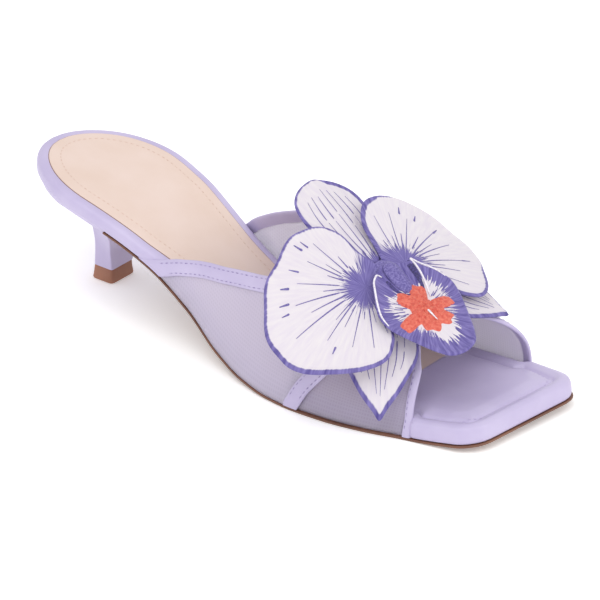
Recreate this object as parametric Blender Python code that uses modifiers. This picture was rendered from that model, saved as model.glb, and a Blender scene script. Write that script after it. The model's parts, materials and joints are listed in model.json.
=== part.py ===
"""Right-foot mule with a kitten heel, two crossed sheer straps and an orchid on the vamp.

Lengths in the tables are millimetres on the last: x runs from the back of the heel to the toe,
y from the lateral side (negative) to the medial side, z up from the floor.
"""

import math
from collections import namedtuple

import bmesh
import bpy
from mathutils import Vector

MM = 0.001

# Last and sole
TOE_END = 233.3
TOE_SLANT = 0.13
TOE_SLANT_START = 200.0
TOE_CORNER = 9.0
HEEL_ROUND = 39.0
OUTSOLE_START = 51.5
OUTSOLE = 2.3
GAP = 0.35
TOE_PAD = 1.25
INSOLE = 0.9
INSOLE_END = 183.0

# Upper
UPPER_INSET = 2.9
UPPER_WALL = 1.2
LAYER = 0.8
BINDING = 0.5
BINDING_WIDTH = 6.3
FRONT_BINDING_WIDTH = 4.0
SECTION_POWER = 2.05
CREST_SHIFT = 5.0

# Heel
TIP_HEIGHT = 6.0

# Orchid
FLOWER_CENTRE = Vector((169.0, -4.0, 47.0))
FLOWER_BACK_SLOPE = 0.44
FLOWER_FRONT_SLOPE = 0.30
FLOWER_BEND = 8.0
FLOWER_TURN = math.radians(7.0)
FLOWER_ROLL = 0.12
FLOWER_DROOP = 0.006
PETAL_SHEET = 1.3
PETAL_LAYER = 1.8
LIP_LAYER = 3.8
LIP_TURN = math.radians(-8.0)
LIP_HOLD = 5.0
LIP_LOBE = 4.0
COLUMN_START = 2.0
COLUMN_LENGTH = 14.0
COLUMN_WIDTH = 5.4
COLUMN_HEIGHT = 3.6
COLUMN_LIFT = 5.6

Station = namedtuple("Station", "x lateral medial bottom rim crest")
# rim is how far the footbed's edge lies inside the outsole's, crest the height of the instep line.
LAST = [
    Station(0, 28.3, 30.4, 45.2, 0.0, 80.0),
    Station(18, 29.4, 31.8, 42.9, 0.0, 79.0),
    Station(38, 29.8, 32.2, 39.4, 0.0, 78.0),
    Station(55, 29.2, 30.2, 34.6, 1.4, 77.0),
    Station(66, 28.7, 27.5, 30.6, 3.3, 76.0),
    Station(75, 28.6, 25.5, 26.8, 3.3, 75.0),
    Station(93, 30.0, 23.7, 17.0, 3.3, 71.0),
    Station(113, 35.0, 24.6, 5.7, 3.3, 66.0),
    Station(128, 39.3, 27.0, 1.6, 3.3, 60.5),
    Station(143, 42.5, 30.3, 0.2, 3.3, 54.0),
    Station(155, 43.4, 33.0, 0.0, 3.3, 48.8),
    Station(170, 42.5, 35.8, 0.0, 3.3, 42.4),
    Station(186, 39.4, 36.6, 0.0, 3.3, 36.0),
    Station(203, 35.5, 35.3, 0.0, 3.3, 30.6),
    Station(220, 31.2, 32.8, 1.7, 1.6, 26.5),
    Station(238, 27.0, 29.2, 4.9, 1.2, 26.0),
]

EdgeRow = namedtuple("EdgeRow", "inset height pad")
# Edge sections of the three sole layers, pad being the share of the toe pad's extra height.
CROWN = [(1.0, 4.7), (2.0, 5.3), (3.2, 5.8), (5.5, 6.4), (10.0, 6.8)]
OUTSOLE_EDGE = [
    EdgeRow(0.8, 0.0, 0.0),
    EdgeRow(0.2, 0.3, 0.0),
    EdgeRow(0.0, 0.9, 0.0),
    EdgeRow(0.0, OUTSOLE - 0.5, 0.0),
    EdgeRow(0.3, OUTSOLE, 0.0),
]
FOOTBED_EDGE = [
    EdgeRow(1.0, OUTSOLE + GAP, 0.0),
    EdgeRow(0.3, OUTSOLE + GAP + 0.4, 0.0),
    EdgeRow(0.0, OUTSOLE + GAP + 1.0, 0.3),
    EdgeRow(0.4, 4.1, 0.8),
] + [EdgeRow(inset, height, 1.0) for inset, height in CROWN]
INSOLE_EDGE = [EdgeRow(inset, height + GAP, 0.0) for inset, height in CROWN[:1:-1]] + [
    EdgeRow(inset, height + GAP + INSOLE, 0.0) for inset, height in CROWN[2:]
]

StrapRow = namedtuple("StrapRow", "around back front")
# around runs from 0 at the lateral edge of the sole over the instep to 1 at the medial edge.
OUTER_STRAP = [
    StrapRow(0.00, 68, 158),
    StrapRow(0.035, 81, 161),
    StrapRow(0.12, 101, 168.5),
    StrapRow(0.18, 117, 174.5),
    StrapRow(0.23, 130, 180),
    StrapRow(0.30, 143, 187),
    StrapRow(0.50, 152, 204),
    StrapRow(0.75, 156, 208),
    StrapRow(1.00, 152, 208),
]
INNER_STRAP = [
    StrapRow(0.00, 150, 205),
    StrapRow(0.25, 158, 202),
    StrapRow(0.50, 152, 204),
    StrapRow(0.70, 130, 192),
    StrapRow(0.825, 108, 178),
    StrapRow(0.96, 82, 162),
    StrapRow(1.00, 70, 159),
]

HeelRow = namedtuple("HeelRow", "rise back front half_width roundness seat flare")
# rise runs from 0 at the tip to 1 at the seat, seat is how far the section has taken the footbed's outline,
# flare how much wider the section is at its front than at its back.
HEEL_ROWS = [
    HeelRow(0.00, 28.6, 37.6, 6.6, 8.0, 0.0, 0.0),
    HeelRow(0.22, 28.8, 38.0, 6.5, 8.0, 0.0, 0.25),
    HeelRow(0.44, 28.0, 40.0, 7.2, 7.0, 0.0, 0.55),
    HeelRow(0.60, 25.0, 43.0, 9.4, 5.5, 0.05, 0.6),
    HeelRow(0.72, 19.5, 45.6, 14.0, 4.2, 0.2, 0.4),
    HeelRow(0.82, 12.5, 48.0, 19.0, 3.4, 0.5, 0.2),
    HeelRow(0.89, 6.0, 49.6, 23.0, 3.0, 0.8, 0.0),
    HeelRow(0.94, 2.0, 50.6, 26.0, 2.8, 1.0, 0.0),
    HeelRow(1.00, 1.0, 51.1, 26.6, 2.8, 1.0, 0.0),
]

Outline = namedtuple("Outline", "along across")
# Half outlines from the root of each piece to its tip.
FRONT_SEPAL_OUTLINE = [
    Outline(4.6, 0.0),
    Outline(6.2, 3.4),
    Outline(12.0, 8.0),
    Outline(24.0, 13.4),
    Outline(34.0, 14.4),
    Outline(42.0, 9.6),
    Outline(49.5, 0.0),
]
BACK_SEPAL_OUTLINE = [
    Outline(4.6, 0.0),
    Outline(6.2, 3.4),
    Outline(12.0, 8.5),
    Outline(22.0, 13.6),
    Outline(32.0, 15.6),
    Outline(40.0, 14.4),
    Outline(45.5, 8.6),
    Outline(47.8, 0.0),
]
LIP_OUTLINE = [
    Outline(0.0, 0.0),
    Outline(2.0, 8.0),
    Outline(8.0, 12.6),
    Outline(15.0, 16.0),
    Outline(21.0, 18.0),
    Outline(27.0, 17.5),
    Outline(34.0, 15.0),
    Outline(41.0, 12.2),
    Outline(48.0, 9.2),
    Outline(53.5, 5.6),
    Outline(55.5, 0.0),
]
# A petal's whole outline, forward along the flower and outward from its middle.
PETAL_OUTLINE = [
    Outline(3.0, 0.8),
    Outline(-10.0, 4.0),
    Outline(-21.0, 6.0),
    Outline(-28.0, 13.0),
    Outline(-30.0, 22.0),
    Outline(-28.0, 31.0),
    Outline(-23.0, 41.0),
    Outline(-15.0, 49.0),
    Outline(-3.0, 52.0),
    Outline(8.0, 49.5),
    Outline(18.0, 43.0),
    Outline(28.0, 35.0),
    Outline(32.5, 27.0),
    Outline(29.0, 20.0),
    Outline(21.0, 15.0),
    Outline(11.0, 7.0),
]


def hermite(rows, key, column):
    """A monotone cubic through one column of a table, as a function of its key column."""
    xs = [getattr(row, key) for row in rows]
    ys = [getattr(row, column) for row in rows]
    slopes = [(ys[i + 1] - ys[i]) / (xs[i + 1] - xs[i]) for i in range(len(xs) - 1)]
    tangents = [slopes[0]]
    for before, after in zip(slopes, slopes[1:]):
        flat = before * after <= 0
        tangents.append(0.0 if flat else 2 * before * after / (before + after))
    tangents.append(slopes[-1])

    def value(x):
        x = min(max(x, xs[0]), xs[-1])
        i = max(k for k in range(len(xs) - 1) if xs[k] <= x)
        width = xs[i + 1] - xs[i]
        u = (x - xs[i]) / width
        rise = ys[i + 1] - ys[i]
        shape = u * u * (3 - 2 * u)
        bend = u * (1 - u) * ((1 - u) * tangents[i] - u * tangents[i + 1]) * width
        return ys[i] + rise * shape + bend

    return value


lateral = hermite(LAST, "x", "lateral")
medial = hermite(LAST, "x", "medial")
bottom = hermite(LAST, "x", "bottom")
rim = hermite(LAST, "x", "rim")
crest = hermite(LAST, "x", "crest")


def smoothstep(x, start, end):
    u = min(max((x - start) / (end - start), 0.0), 1.0)
    return u * u * (3 - 2 * u)


def slope_at(x):
    return math.atan(bottom(x + 0.5) - bottom(x - 0.5))


def above_sole(x, y, height):
    """The point at a height measured square to the sole's bottom line."""
    lean = slope_at(x)
    return Vector((x - height * math.sin(lean), y, bottom(x) + height * math.cos(lean)))


def end_rounding(s, width, heel, toe):
    """How much of a half width is left at a station near a rounded end."""
    if heel and s < HEEL_ROUND:
        return width * math.sqrt(1 - (1 - s / HEEL_ROUND) ** 2)
    left = TOE_END - s
    if toe and left < TOE_CORNER:
        return width - TOE_CORNER + math.sqrt(TOE_CORNER**2 - (TOE_CORNER - left) ** 2)
    return width


def slab_stations(start, end):
    """Stations shared by all sole layers, closer together towards the rounded heel and toe."""
    straight = TOE_END - TOE_CORNER - HEEL_ROUND
    heel_end = [HEEL_ROUND * (1 - math.cos(math.radians(d))) for d in range(0, 90, 10)]
    middle = [HEEL_ROUND + straight * i / 26 for i in range(27)]
    toe_end = [TOE_END - TOE_CORNER * (1 - math.sin(math.radians(d))) for d in (25, 50, 72)]
    inside = [s for s in heel_end + middle + toe_end if start + 1.0 < s < end - 1.0]
    return [start] + inside + [end]


def slab(name, start, end, edge, border, material, heel=False, toe=False, lift=None, extra=()):
    """A sole layer: rings of its outline, one for each row (inset, height) of its edge, closed by strips."""
    stations = sorted(slab_stations(start, end) + list(extra))
    rings = []
    for inset, height, share in edge:
        head = inset + border(start) if heel else 0.0
        tail = inset + border(end) if toe else 0.0
        ring = []
        for s in stations:
            toe_share = max(s - TOE_END + 2 * TOE_CORNER, 0.0) / (2 * TOE_CORNER)
            moved = s + head * max(1 - s / HEEL_ROUND, 0.0) - tail * toe_share
            slant = TOE_SLANT * smoothstep(s, TOE_SLANT_START, TOE_END)
            sides = []
            for sign, width in ((-1, lateral(s)), (1, medial(s))):
                kept = end_rounding(s, width, heel, toe)
                y = sign * kept * (1 - (inset + border(s)) / width)
                raised = height + (share * lift(s) if lift else 0.0)
                sides.append(above_sole(moved + slant * y, y, raised))
            ring.append(sides)
        rings.append(ring)
    return strip_loft(name, rings, material)


def strip_loft(name, rings, material):
    """Rings of (lateral, medial) pairs joined into walls, with strips of quads closing the first and last."""
    bm = bmesh.new()
    loops = []
    for ring in rings:
        left = [bm.verts.new(pair[0] * MM) for pair in ring]
        right = [bm.verts.new(pair[1] * MM) for pair in ring]
        loops.append((left, right))
    for (left, right), (next_left, next_right) in zip(loops, loops[1:]):
        lower = left + right[::-1]
        upper = next_left + next_right[::-1]
        for i in range(len(lower)):
            j = (i + 1) % len(lower)
            bm.faces.new((lower[i], lower[j], upper[j], upper[i]))
    for left, right in (loops[0], loops[-1]):
        for i in range(len(left) - 1):
            bm.faces.new((left[i], left[i + 1], right[i + 1], right[i]))
    return finish(name, bm, material)


def finish(name, bm, material):
    """Close a mesh up and make it an object of the shoe."""
    bmesh.ops.remove_doubles(bm, verts=bm.verts, dist=0.00002)
    bmesh.ops.dissolve_degenerate(bm, edges=bm.edges, dist=0.00002)
    bmesh.ops.recalc_face_normals(bm, faces=bm.faces)
    mesh = bpy.data.meshes.new(name)
    bm.to_mesh(mesh)
    bm.free()
    made = bpy.data.objects.new(name, mesh)
    made.data.materials.append(material)
    shoe.objects.link(made)
    return made


def principled(name, colour, roughness):
    material = bpy.data.materials.new(name)
    material.use_nodes = True
    shader = material.node_tree.nodes["Principled BSDF"]
    shader.inputs["Base Color"].default_value = (*colour, 1.0)
    shader.inputs["Roughness"].default_value = roughness
    return material


def upper_base(s):
    lean = slope_at(s)
    return bottom(s) + (OUTSOLE + GAP) / math.cos(lean)


def upper_inside(s, around):
    """A point of the upper's inner face: around 0 is its lateral edge, 1 its medial edge."""
    y_lateral = -(lateral(s) - UPPER_INSET)
    y_medial = medial(s) - UPPER_INSET
    angle = math.pi * around
    side = math.cos(angle)
    over = max(math.sin(angle), 0.0)
    reach = math.copysign(abs(side) ** (2 / SECTION_POWER), side)
    y = (y_lateral + y_medial) / 2 - (y_medial - y_lateral) / 2 * reach + CREST_SHIFT * over
    z = upper_base(s) + (crest(s) - upper_base(s)) * over ** (2 / SECTION_POWER)
    return Vector((s, y, z))


def upper_point(s, around, offset):
    """A point set out from the upper's inner face along its normal, level at its two edges."""
    t = min(max(around, 0.004), 0.996)
    along = upper_inside(s + 0.5, t) - upper_inside(s - 0.5, t)
    across = upper_inside(s, t + 0.003) - upper_inside(s, t - 0.003)
    normal = along.cross(across).normalized()
    edge = smoothstep(min(around, 1 - around), 0.0, 0.06)
    normal = Vector((normal.x * edge, normal.y, normal.z * edge)).normalized()
    return upper_inside(s, around) + normal * offset


def band_edge(edge, direction, around, width):
    """The station at one binding width from a strap's edge, measured over the surface."""
    line = [upper_inside(edge(k / 60), k / 60) for k in range(61)]
    near, far = 0.0, 5 * width
    for _ in range(24):
        middle = (near + far) / 2
        point = upper_inside(edge(around) + direction * middle, around)
        if min((point - p).length for p in line) < width:
            near = middle
        else:
            far = middle
    return edge(around) + direction * near


def strap(name, rows, level, front_width, material):
    """A strap lofted from side to side through closed sections, with its two bindings as steps in the wall."""
    back = hermite(rows, "around", "back")
    front = hermite(rows, "around", "front")
    half = [0.0, 0.012, 0.03, 0.055, 0.09, 0.13, 0.18, 0.23, 0.29, 0.36, 0.43]
    arounds = half + [0.5] + [1 - t for t in half[::-1]]
    sections = []
    for t in arounds:
        b = band_edge(back, 1, t, BINDING_WIDTH)
        f = band_edge(front, -1, t, front_width)
        panel = [b + 0.3 + (f - b - 0.6) * i / 9 for i in range(10)]
        low = level + UPPER_WALL
        high = low + BINDING
        outer = [(back(t), high), ((back(t) + b) / 2, high), (b, high)]
        outer += [(s, low) for s in panel]
        outer += [(f, high), (front(t), high)]
        sections.append([(upper_point(s, t, o), upper_point(s, t, level)) for s, o in outer])
    return strip_loft(name, sections, material)


def union(target, other):
    """Fuse one solid into another and leave the second as a hidden cutter."""
    modifier = target.modifiers.new("join_" + other.name, "BOOLEAN")
    modifier.operation = "UNION"
    modifier.solver = "EXACT"
    modifier.object = other
    shoe.objects.unlink(other)
    cutters.objects.link(other)
    other.hide_render = True
    other.display_type = "WIRE"


def heel_block(name, material):
    """The heel lofted from its squarish tip to the seat, where it takes the footbed's outline."""
    columns = {c: hermite(HEEL_ROWS, "rise", c) for c in HeelRow._fields[1:]}
    low = TIP_HEIGHT + GAP
    rises = [0.0, 0.11, 0.22, 0.33, 0.44, 0.52, 0.6, 0.66, 0.72, 0.77, 0.82, 0.86, 0.89, 0.92, 0.95, 1.0]
    rings = []
    for rise in rises:
        x_back = columns["back"](rise)
        x_front = columns["front"](rise)
        power = 2 / columns["roundness"](rise)
        seat = columns["seat"](rise)
        ring = []
        for k in range(17):
            angle = math.pi * k / 16
            reach = math.copysign(abs(math.cos(angle)) ** power, math.cos(angle))
            x = (x_back + x_front) / 2 - (x_front - x_back) / 2 * reach
            half = columns["half_width"](rise) * (1 + columns["flare"](rise) * (1 - reach) / 2)
            stem = half * math.sin(angle) ** power if 0 < k < 16 else 0.0
            z = low + rise * (above_sole(x, 0.0, OUTSOLE).z - low)
            pair = []
            for sign, width in ((-1, lateral(x)), (1, medial(x))):
                rim_y = end_rounding(max(x - x_back, 0.0), width - x_back, True, False)
                front_corner = 1 - smoothstep(k, 14.5, 16)
                y = (1 - seat) * stem + seat * rim_y * front_corner
                pair.append(Vector((x, sign * y, z)))
            ring.append(tuple(pair))
        rings.append(ring)
    return strip_loft(name, rings, material)


def top_piece(name, material):
    """The wearing tip: a rounded block that spreads slightly towards the floor."""
    foot = HEEL_ROWS[0]
    rings = []
    for height, spread in ((0.0, 0.1), (0.5, 0.5), (TIP_HEIGHT, 0.0)):
        ring = []
        for k in range(17):
            angle = math.pi * k / 16
            reach = math.copysign(abs(math.cos(angle)) ** 0.25, math.cos(angle))
            x = (foot.back + foot.front) / 2 - ((foot.front - foot.back) / 2 + spread) * reach
            y = (foot.half_width + spread) * math.sin(angle) ** 0.25 if 0 < k < 16 else 0.0
            ring.append((Vector((x, -y, height)), Vector((x, y, height))))
        rings.append(ring)
    return strip_loft(name, rings, material)


def closed_spline(points, per_span):
    """Points along a smooth closed curve through the given ones."""
    count = len(points)
    line = []
    for i in range(count):
        p0, p1, p2, p3 = (points[(i + k) % count] for k in (-1, 0, 1, 2))
        for j in range(per_span):
            u = j / per_span
            line.append(
                0.5 * (2 * p1 + (p2 - p0) * u + (2 * p0 - 5 * p1 + 4 * p2 - p3) * u * u
                       + (3 * p1 - p0 - 3 * p2 + p3) * u**3)
            )
    return line


def flower_point(forward, out, lift):
    """A point of the orchid: forward to the toe and out to the medial side, on a drooping saddle."""
    a = forward * math.cos(FLOWER_TURN) + out * math.sin(FLOWER_TURN)
    b = out * math.cos(FLOWER_TURN) - forward * math.sin(FLOWER_TURN)
    mean = (FLOWER_BACK_SLOPE + FLOWER_FRONT_SLOPE) / 2
    bend = (FLOWER_BACK_SLOPE - FLOWER_FRONT_SLOPE) / 2 * (math.hypot(a, FLOWER_BEND) - FLOWER_BEND)
    x = FLOWER_CENTRE.x + a * math.cos(mean)
    z = FLOWER_CENTRE.z - mean * a + bend + FLOWER_ROLL * b - FLOWER_DROOP * b * b
    return Vector((x, FLOWER_CENTRE.y + b, z + lift))


def flower_piece(name, outline, middle, lift, material, rings=4):
    """A thin curved sheet inside a closed outline, given its thickness upwards."""
    bm = bmesh.new()
    hub = bm.verts.new(flower_point(middle.x, middle.y, lift(middle.x, middle.y)) * MM)
    before = None
    for k in range(1, rings + 1):
        share = (k / rings) ** 0.8
        ring = []
        for p in outline:
            q = middle + (p - middle) * share
            ring.append(bm.verts.new(flower_point(q.x, q.y, lift(q.x, q.y)) * MM))
        for i in range(len(ring)):
            j = (i + 1) % len(ring)
            if before is None:
                bm.faces.new((hub, ring[i], ring[j]))
            else:
                bm.faces.new((before[i], ring[i], ring[j], before[j]))
        before = ring
    made = finish(name, bm, material)
    if made.data.polygons[0].normal.z < 0:
        made.data.flip_normals()
    shell = made.modifiers.new("sheet", "SOLIDIFY")
    shell.thickness = PETAL_SHEET * MM
    shell.offset = 1.0
    shell.use_even_offset = True
    return made


def turned(rows, angle):
    """A half outline mirrored to a whole one and turned to its place in the flower."""
    whole = [(r.along, r.across) for r in rows] + [(r.along, -r.across) for r in rows[-2:0:-1]]
    c, s = math.cos(angle), math.sin(angle)
    return [Vector((a * c - w * s, a * s + w * c, 0.0)) for a, w in whole]


def sepal(name, rows, degrees, droop, material):
    """A pointed sepal under the petals; droop is how far its tip hangs below the flower's saddle."""
    angle = math.radians(degrees)
    outline = closed_spline(turned(rows, angle), 3)
    axis = Vector((math.cos(angle), math.sin(angle), 0.0))
    length = rows[-1].along

    def lift(forward, out):
        along = max(forward * axis.x + out * axis.y, 0.0) / length
        return -droop * along**3

    return flower_piece(name, outline, axis * length * 0.5, lift, material)


def petal(name, reach, spread, curl, material):
    """A round petal over the sepals, its rim turned up a little and its back edge by the curl as well."""
    points = [Vector((spread * r.along, reach * r.across, 0.0)) for r in PETAL_OUTLINE]
    middle = Vector((-1.0, reach * 28.0, 0.0))

    def lift(forward, out):
        rise = 1.5 * (math.hypot(forward, out) / 45) ** 2
        return PETAL_LAYER + rise + curl * smoothstep(-forward, 6.0, 30.0)

    return flower_piece(name, closed_spline(points, 2), middle, lift, material)


def column(name, material):
    """The small rounded rod over the root of the lip."""
    bm = bmesh.new()
    bmesh.ops.create_uvsphere(bm, u_segments=12, v_segments=8, radius=1.0)
    for v in bm.verts:
        along = COLUMN_START + COLUMN_LENGTH * (0.5 + 0.5 * v.co.x)
        across = COLUMN_WIDTH / 2 * v.co.y
        rise = COLUMN_LIFT + COLUMN_HEIGHT / 2 * (1 + v.co.z)
        v.co = flower_point(along, across + along * math.sin(LIP_TURN), rise) * MM
    return finish(name, bm, material)


def lip(name, material):
    """The lip on top of the flower, its two side lobes turned up and its tip held out over the toe opening."""
    outline = closed_spline(turned(LIP_OUTLINE, LIP_TURN), 3)

    def lift(forward, out):
        along = forward * math.cos(LIP_TURN) + out * math.sin(LIP_TURN)
        across = out * math.cos(LIP_TURN) - forward * math.sin(LIP_TURN)
        share = min(max(along / LIP_OUTLINE[-1].along, 0.0), 1.0)
        lobe = math.exp(-(((along - 8.0) / 11.0) ** 2)) * (abs(across) / 15.0) ** 3
        return LIP_LAYER + LIP_HOLD * share**1.5 + LIP_LOBE * lobe

    return flower_piece(name, outline, Vector((24.0, 24.0 * math.sin(LIP_TURN), 0.0)), lift, material, rings=6)


for old in list(bpy.data.objects):
    bpy.data.objects.remove(old)

shoe = bpy.data.collections.new("mule")
cutters = bpy.data.collections.new("cutters")
bpy.context.scene.collection.children.link(shoe)
bpy.context.scene.collection.children.link(cutters)

lilac_leather = principled("lilac_leather", (0.58, 0.51, 0.77), 0.45)
lilac_mesh = principled("lilac_mesh", (0.55, 0.50, 0.70), 0.8)
sole_leather = principled("brown_sole_leather", (0.22, 0.11, 0.07), 0.55)
sock_leather = principled("beige_sock_leather", (0.83, 0.66, 0.56), 0.6)
petal_cloth = principled("embroidered_cloth", (0.85, 0.80, 0.88), 0.75)

slab("outsole", OUTSOLE_START, TOE_END, OUTSOLE_EDGE, lambda s: 0.0, sole_leather, toe=True)
slab(
    "footbed", 0.0, TOE_END, FOOTBED_EDGE, rim, lilac_leather, heel=True, toe=True,
    lift=lambda s: TOE_PAD * smoothstep(s, INSOLE_END, INSOLE_END + 0.6),
    extra=(INSOLE_END, INSOLE_END + 0.3, INSOLE_END + 0.6),
)
slab("insole", 0.0, INSOLE_END - GAP, INSOLE_EDGE, rim, sock_leather, heel=True)
heel_block("heel", lilac_leather)
top_piece("heel_top_piece", sole_leather)

upper = strap("upper", OUTER_STRAP, LAYER, BINDING_WIDTH, lilac_mesh)
under = strap("under_strap", INNER_STRAP, 0.0, FRONT_BINDING_WIDTH, lilac_mesh)
union(upper, under)

sepal("sepal_back", BACK_SEPAL_OUTLINE, 174.0, 0.0, petal_cloth)
sepal("sepal_front_lateral", FRONT_SEPAL_OUTLINE, -45.0, 14.0, petal_cloth)
sepal("sepal_front_medial", FRONT_SEPAL_OUTLINE, 46.0, 5.0, petal_cloth)
petal("petal_lateral", -1.02, 1.01, 0.0, petal_cloth)
petal("petal_medial", 0.91, 0.95, 2.6, petal_cloth)
lip("lip", petal_cloth)
column("column", petal_cloth)

pieces = list(shoe.objects) + list(cutters.objects)
depsgraph = bpy.context.evaluated_depsgraph_get()
corners = [Vector(c) for made in shoe.objects for c in made.evaluated_get(depsgraph).bound_box]
origin = bpy.data.objects.new("mule_origin", None)
origin.location.x = -(min(c.x for c in corners) + max(c.x for c in corners)) / 2
origin.location.y = -(min(c.y for c in corners) + max(c.y for c in corners)) / 2
shoe.objects.link(origin)
for made in pieces:
    made.parent = origin
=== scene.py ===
"""Looks of a right-foot mule: lilac leather, sheer crossed straps and an embroidered orchid.

Lengths in the tables are millimetres on the last: x runs from the back of the heel to the toe,
y from the lateral side (negative) to the medial side, z up from the floor.
"""

import json
import math
import random
from collections import namedtuple
from functools import partial

import bmesh
import bpy
from bpy.props import FloatProperty, FloatVectorProperty, PointerProperty
from mathutils import Matrix, Vector, noise

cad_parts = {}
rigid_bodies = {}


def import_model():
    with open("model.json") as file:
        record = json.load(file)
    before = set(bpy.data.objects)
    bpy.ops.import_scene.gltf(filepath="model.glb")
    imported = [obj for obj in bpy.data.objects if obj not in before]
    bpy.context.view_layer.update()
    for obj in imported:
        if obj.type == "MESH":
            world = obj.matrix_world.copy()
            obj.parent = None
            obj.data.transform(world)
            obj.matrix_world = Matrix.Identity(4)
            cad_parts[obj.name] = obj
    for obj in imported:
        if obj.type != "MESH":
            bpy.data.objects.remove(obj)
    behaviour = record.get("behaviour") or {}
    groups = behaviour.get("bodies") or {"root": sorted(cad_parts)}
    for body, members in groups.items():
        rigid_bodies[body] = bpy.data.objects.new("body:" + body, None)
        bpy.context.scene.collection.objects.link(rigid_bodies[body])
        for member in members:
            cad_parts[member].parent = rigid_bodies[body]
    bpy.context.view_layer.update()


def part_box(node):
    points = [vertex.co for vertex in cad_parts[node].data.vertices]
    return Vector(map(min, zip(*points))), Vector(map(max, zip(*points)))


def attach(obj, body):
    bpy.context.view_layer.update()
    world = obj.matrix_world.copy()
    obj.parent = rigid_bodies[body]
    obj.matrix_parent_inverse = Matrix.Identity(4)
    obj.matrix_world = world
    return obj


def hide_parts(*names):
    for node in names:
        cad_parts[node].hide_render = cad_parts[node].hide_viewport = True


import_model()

bl_info = {
    "name": "Orchid mule looks",
    "version": (1, 0, 0),
    "blender": (4, 5, 0),
    "location": "3D View > Sidebar > Mule",
    "description": "Builds the visible pieces and finishes of a kitten-heel mule around its frame",
    "category": "Object",
}

MM = 0.001
MERGE = 0.00002
UP = Vector((0.0, 0.0, 1.0))

# Last and sole
TOE_END = 234.3
TOE_SLANT = 0.12
TOE_SLANT_START = 200.0
TOE_CORNER = 9.0
HEEL_ROUND = 39.0
OUTSOLE_START = 51.5
OUTSOLE = 1.0
GAP = 0.15
STATION_STEP = 2.5
FINE_STEP = 0.8
STATION_GAP = 0.3

# The footbed's edge draws in to make room for the straps. Pairs are the lateral and the medial side.
RIM = 3.3
TOE_RIM = 0.35
RIM_STARTS = (66.0, 54.0)
RIM_FULL = 88.0
RIM_ENDS = (201.5, 208.0)
RIM_RELEASE = 4.5

# Sock
SOCK_END = 183.0
SOCK_INSET = 4.6
SOCK_TRIM_END = 150.0
SOCK_STITCH_HEIGHT = 6.78
# Painted shade: a thin dark brown cord along the sock's edge stands for the shadow in the gap between the
# sock and the footbed's rim; its height, how far out it lies and its radius.
GAP_SHADOW_HEIGHT = 6.12
GAP_SHADOW_OUT = 0.05
GAP_SHADOW_RADIUS = 0.22

# Toe pad: a step behind the sock, then a slope up to a pillow inside a seam and a rolled border.
TOE_PAD = 2.0
PAD_STEP_SHARE = 0.4
PAD_STEP_LENGTH = 0.6
PAD_SLOPE_LENGTH = 25.0
PILLOW = 0.9
PILLOW_FROM, PILLOW_TO = 0.3, 7.0
BORDER_ROLL, BORDER_MIDDLE, BORDER_WIDTH = 0.35, 3.6, 1.8
GROOVE_WIDTH = 0.9
SEAM_START = 196.0
SEAM_HEIGHT = 6.2
SEAM_SIDE_STEPS, SEAM_FRONT_STEPS = 60, 40

# Upper
UPPER_INSET = 2.9
UPPER_BASE = 2.65
UPPER_HEM = 1.5
HEM_FLARE = 0.95
HEM_SHARE = 0.05
LEVEL_SHARE = 0.06
END_SHARE = 0.004
SECTION_POWER = 2.05
CREST_SHIFT = 5.0
LAYER = 0.8
PANEL_INSET = 1.0
PANEL_LIFT = 0.65
GIRTH_RADIUS = 40.0
BAND_WIDTH = 6.3
FAR_BAND_WIDTH = 4.8
TOE_BAND_WIDTH = 3.3
BAND_TOP = 1.62
# Flat sizes in metres, along the foot and round it.
OUTER_FLAT, INNER_FLAT = (0.095, 0.135), (0.085, 0.135)
OUTER_OPACITY, INNER_OPACITY = 0.84, 0.66

# Heel
TIP_HEIGHT = 6.0
TIP_MIDDLE = 33.1
TIP_POWER = 0.25
FRONT_POWER = 0.13
HEEL_AROUND = 40
HEEL_STEPS = 44

# Patterns
CLOUD = 22.2
WEAVE = 1.1
FAN_THREADS = 26.0
FAN_STRETCH = 0.006
HEART_FADE = 1.2
BORDER_FADE = 0.4

# Threads
STITCH_FLATNESS = 0.35
CORD_END = 0.45
CORD_TAPER = 3
VEIN_START = 0.5
VEIN_SWELL = 5
VEIN_WIDEST, VEIN_TAPER = 1.1, 0.7
VEIN_ROUND = 0.1
VEIN_LIFT = 0.08
# Painted shade: lift and widths of the dark threads beside the lip's fold and round the column's tip.
SHADOW_LIFT = 0.1
FOLD_SHADOW_WIDTH, COLUMN_SHADOW_WIDTH = 2.0, 1.5

# Orchid
FLOWER_CENTRE = Vector((169.0, -4.0, 47.0))
FLOWER_BACK_SLOPE = 0.44
FLOWER_FRONT_SLOPE = 0.30
FLOWER_BEND = 8.0
FLOWER_TURN = math.radians(7.0)
FLOWER_ROLL = 0.12
FLOWER_DROOP = 0.006
CLOTH_LIFT = 0.2
BEAD_INSET, BEAD_WIDTH = 0.9, 0.8
EDGE_DROP = 0.35
SEPAL_RIB, SEPAL_RIB_WIDTH = 0.5, 3.0
SEPAL_WIDE_FROM = (2.0, 6.0)

# Petals: ranges are where something sets in, along the petal in millimetres or round it in degrees.
PETAL_LAYER = 1.8
PETAL_TURN = 95.0
PETAL_MIDDLE, PETAL_MIDDLE_BACK = 0.53, 1.0
PETAL_RISE, PETAL_RISE_REACH = 1.5, 45.0
PETAL_CURL_FROM = (6.0, 30.0)
PETAL_ROOT_FADE = 0.12
BARE_FROM = (-62.0, -48.0)
BARE_TO = (72.0, 86.0)
WIDE_FROM = (92.0, 104.0)
SCALLOPS = 9
SCALLOP_OUT_FROM = (24.0, 36.0)
SCALLOP_BACK_FROM = (-8.0, 4.0)

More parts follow.
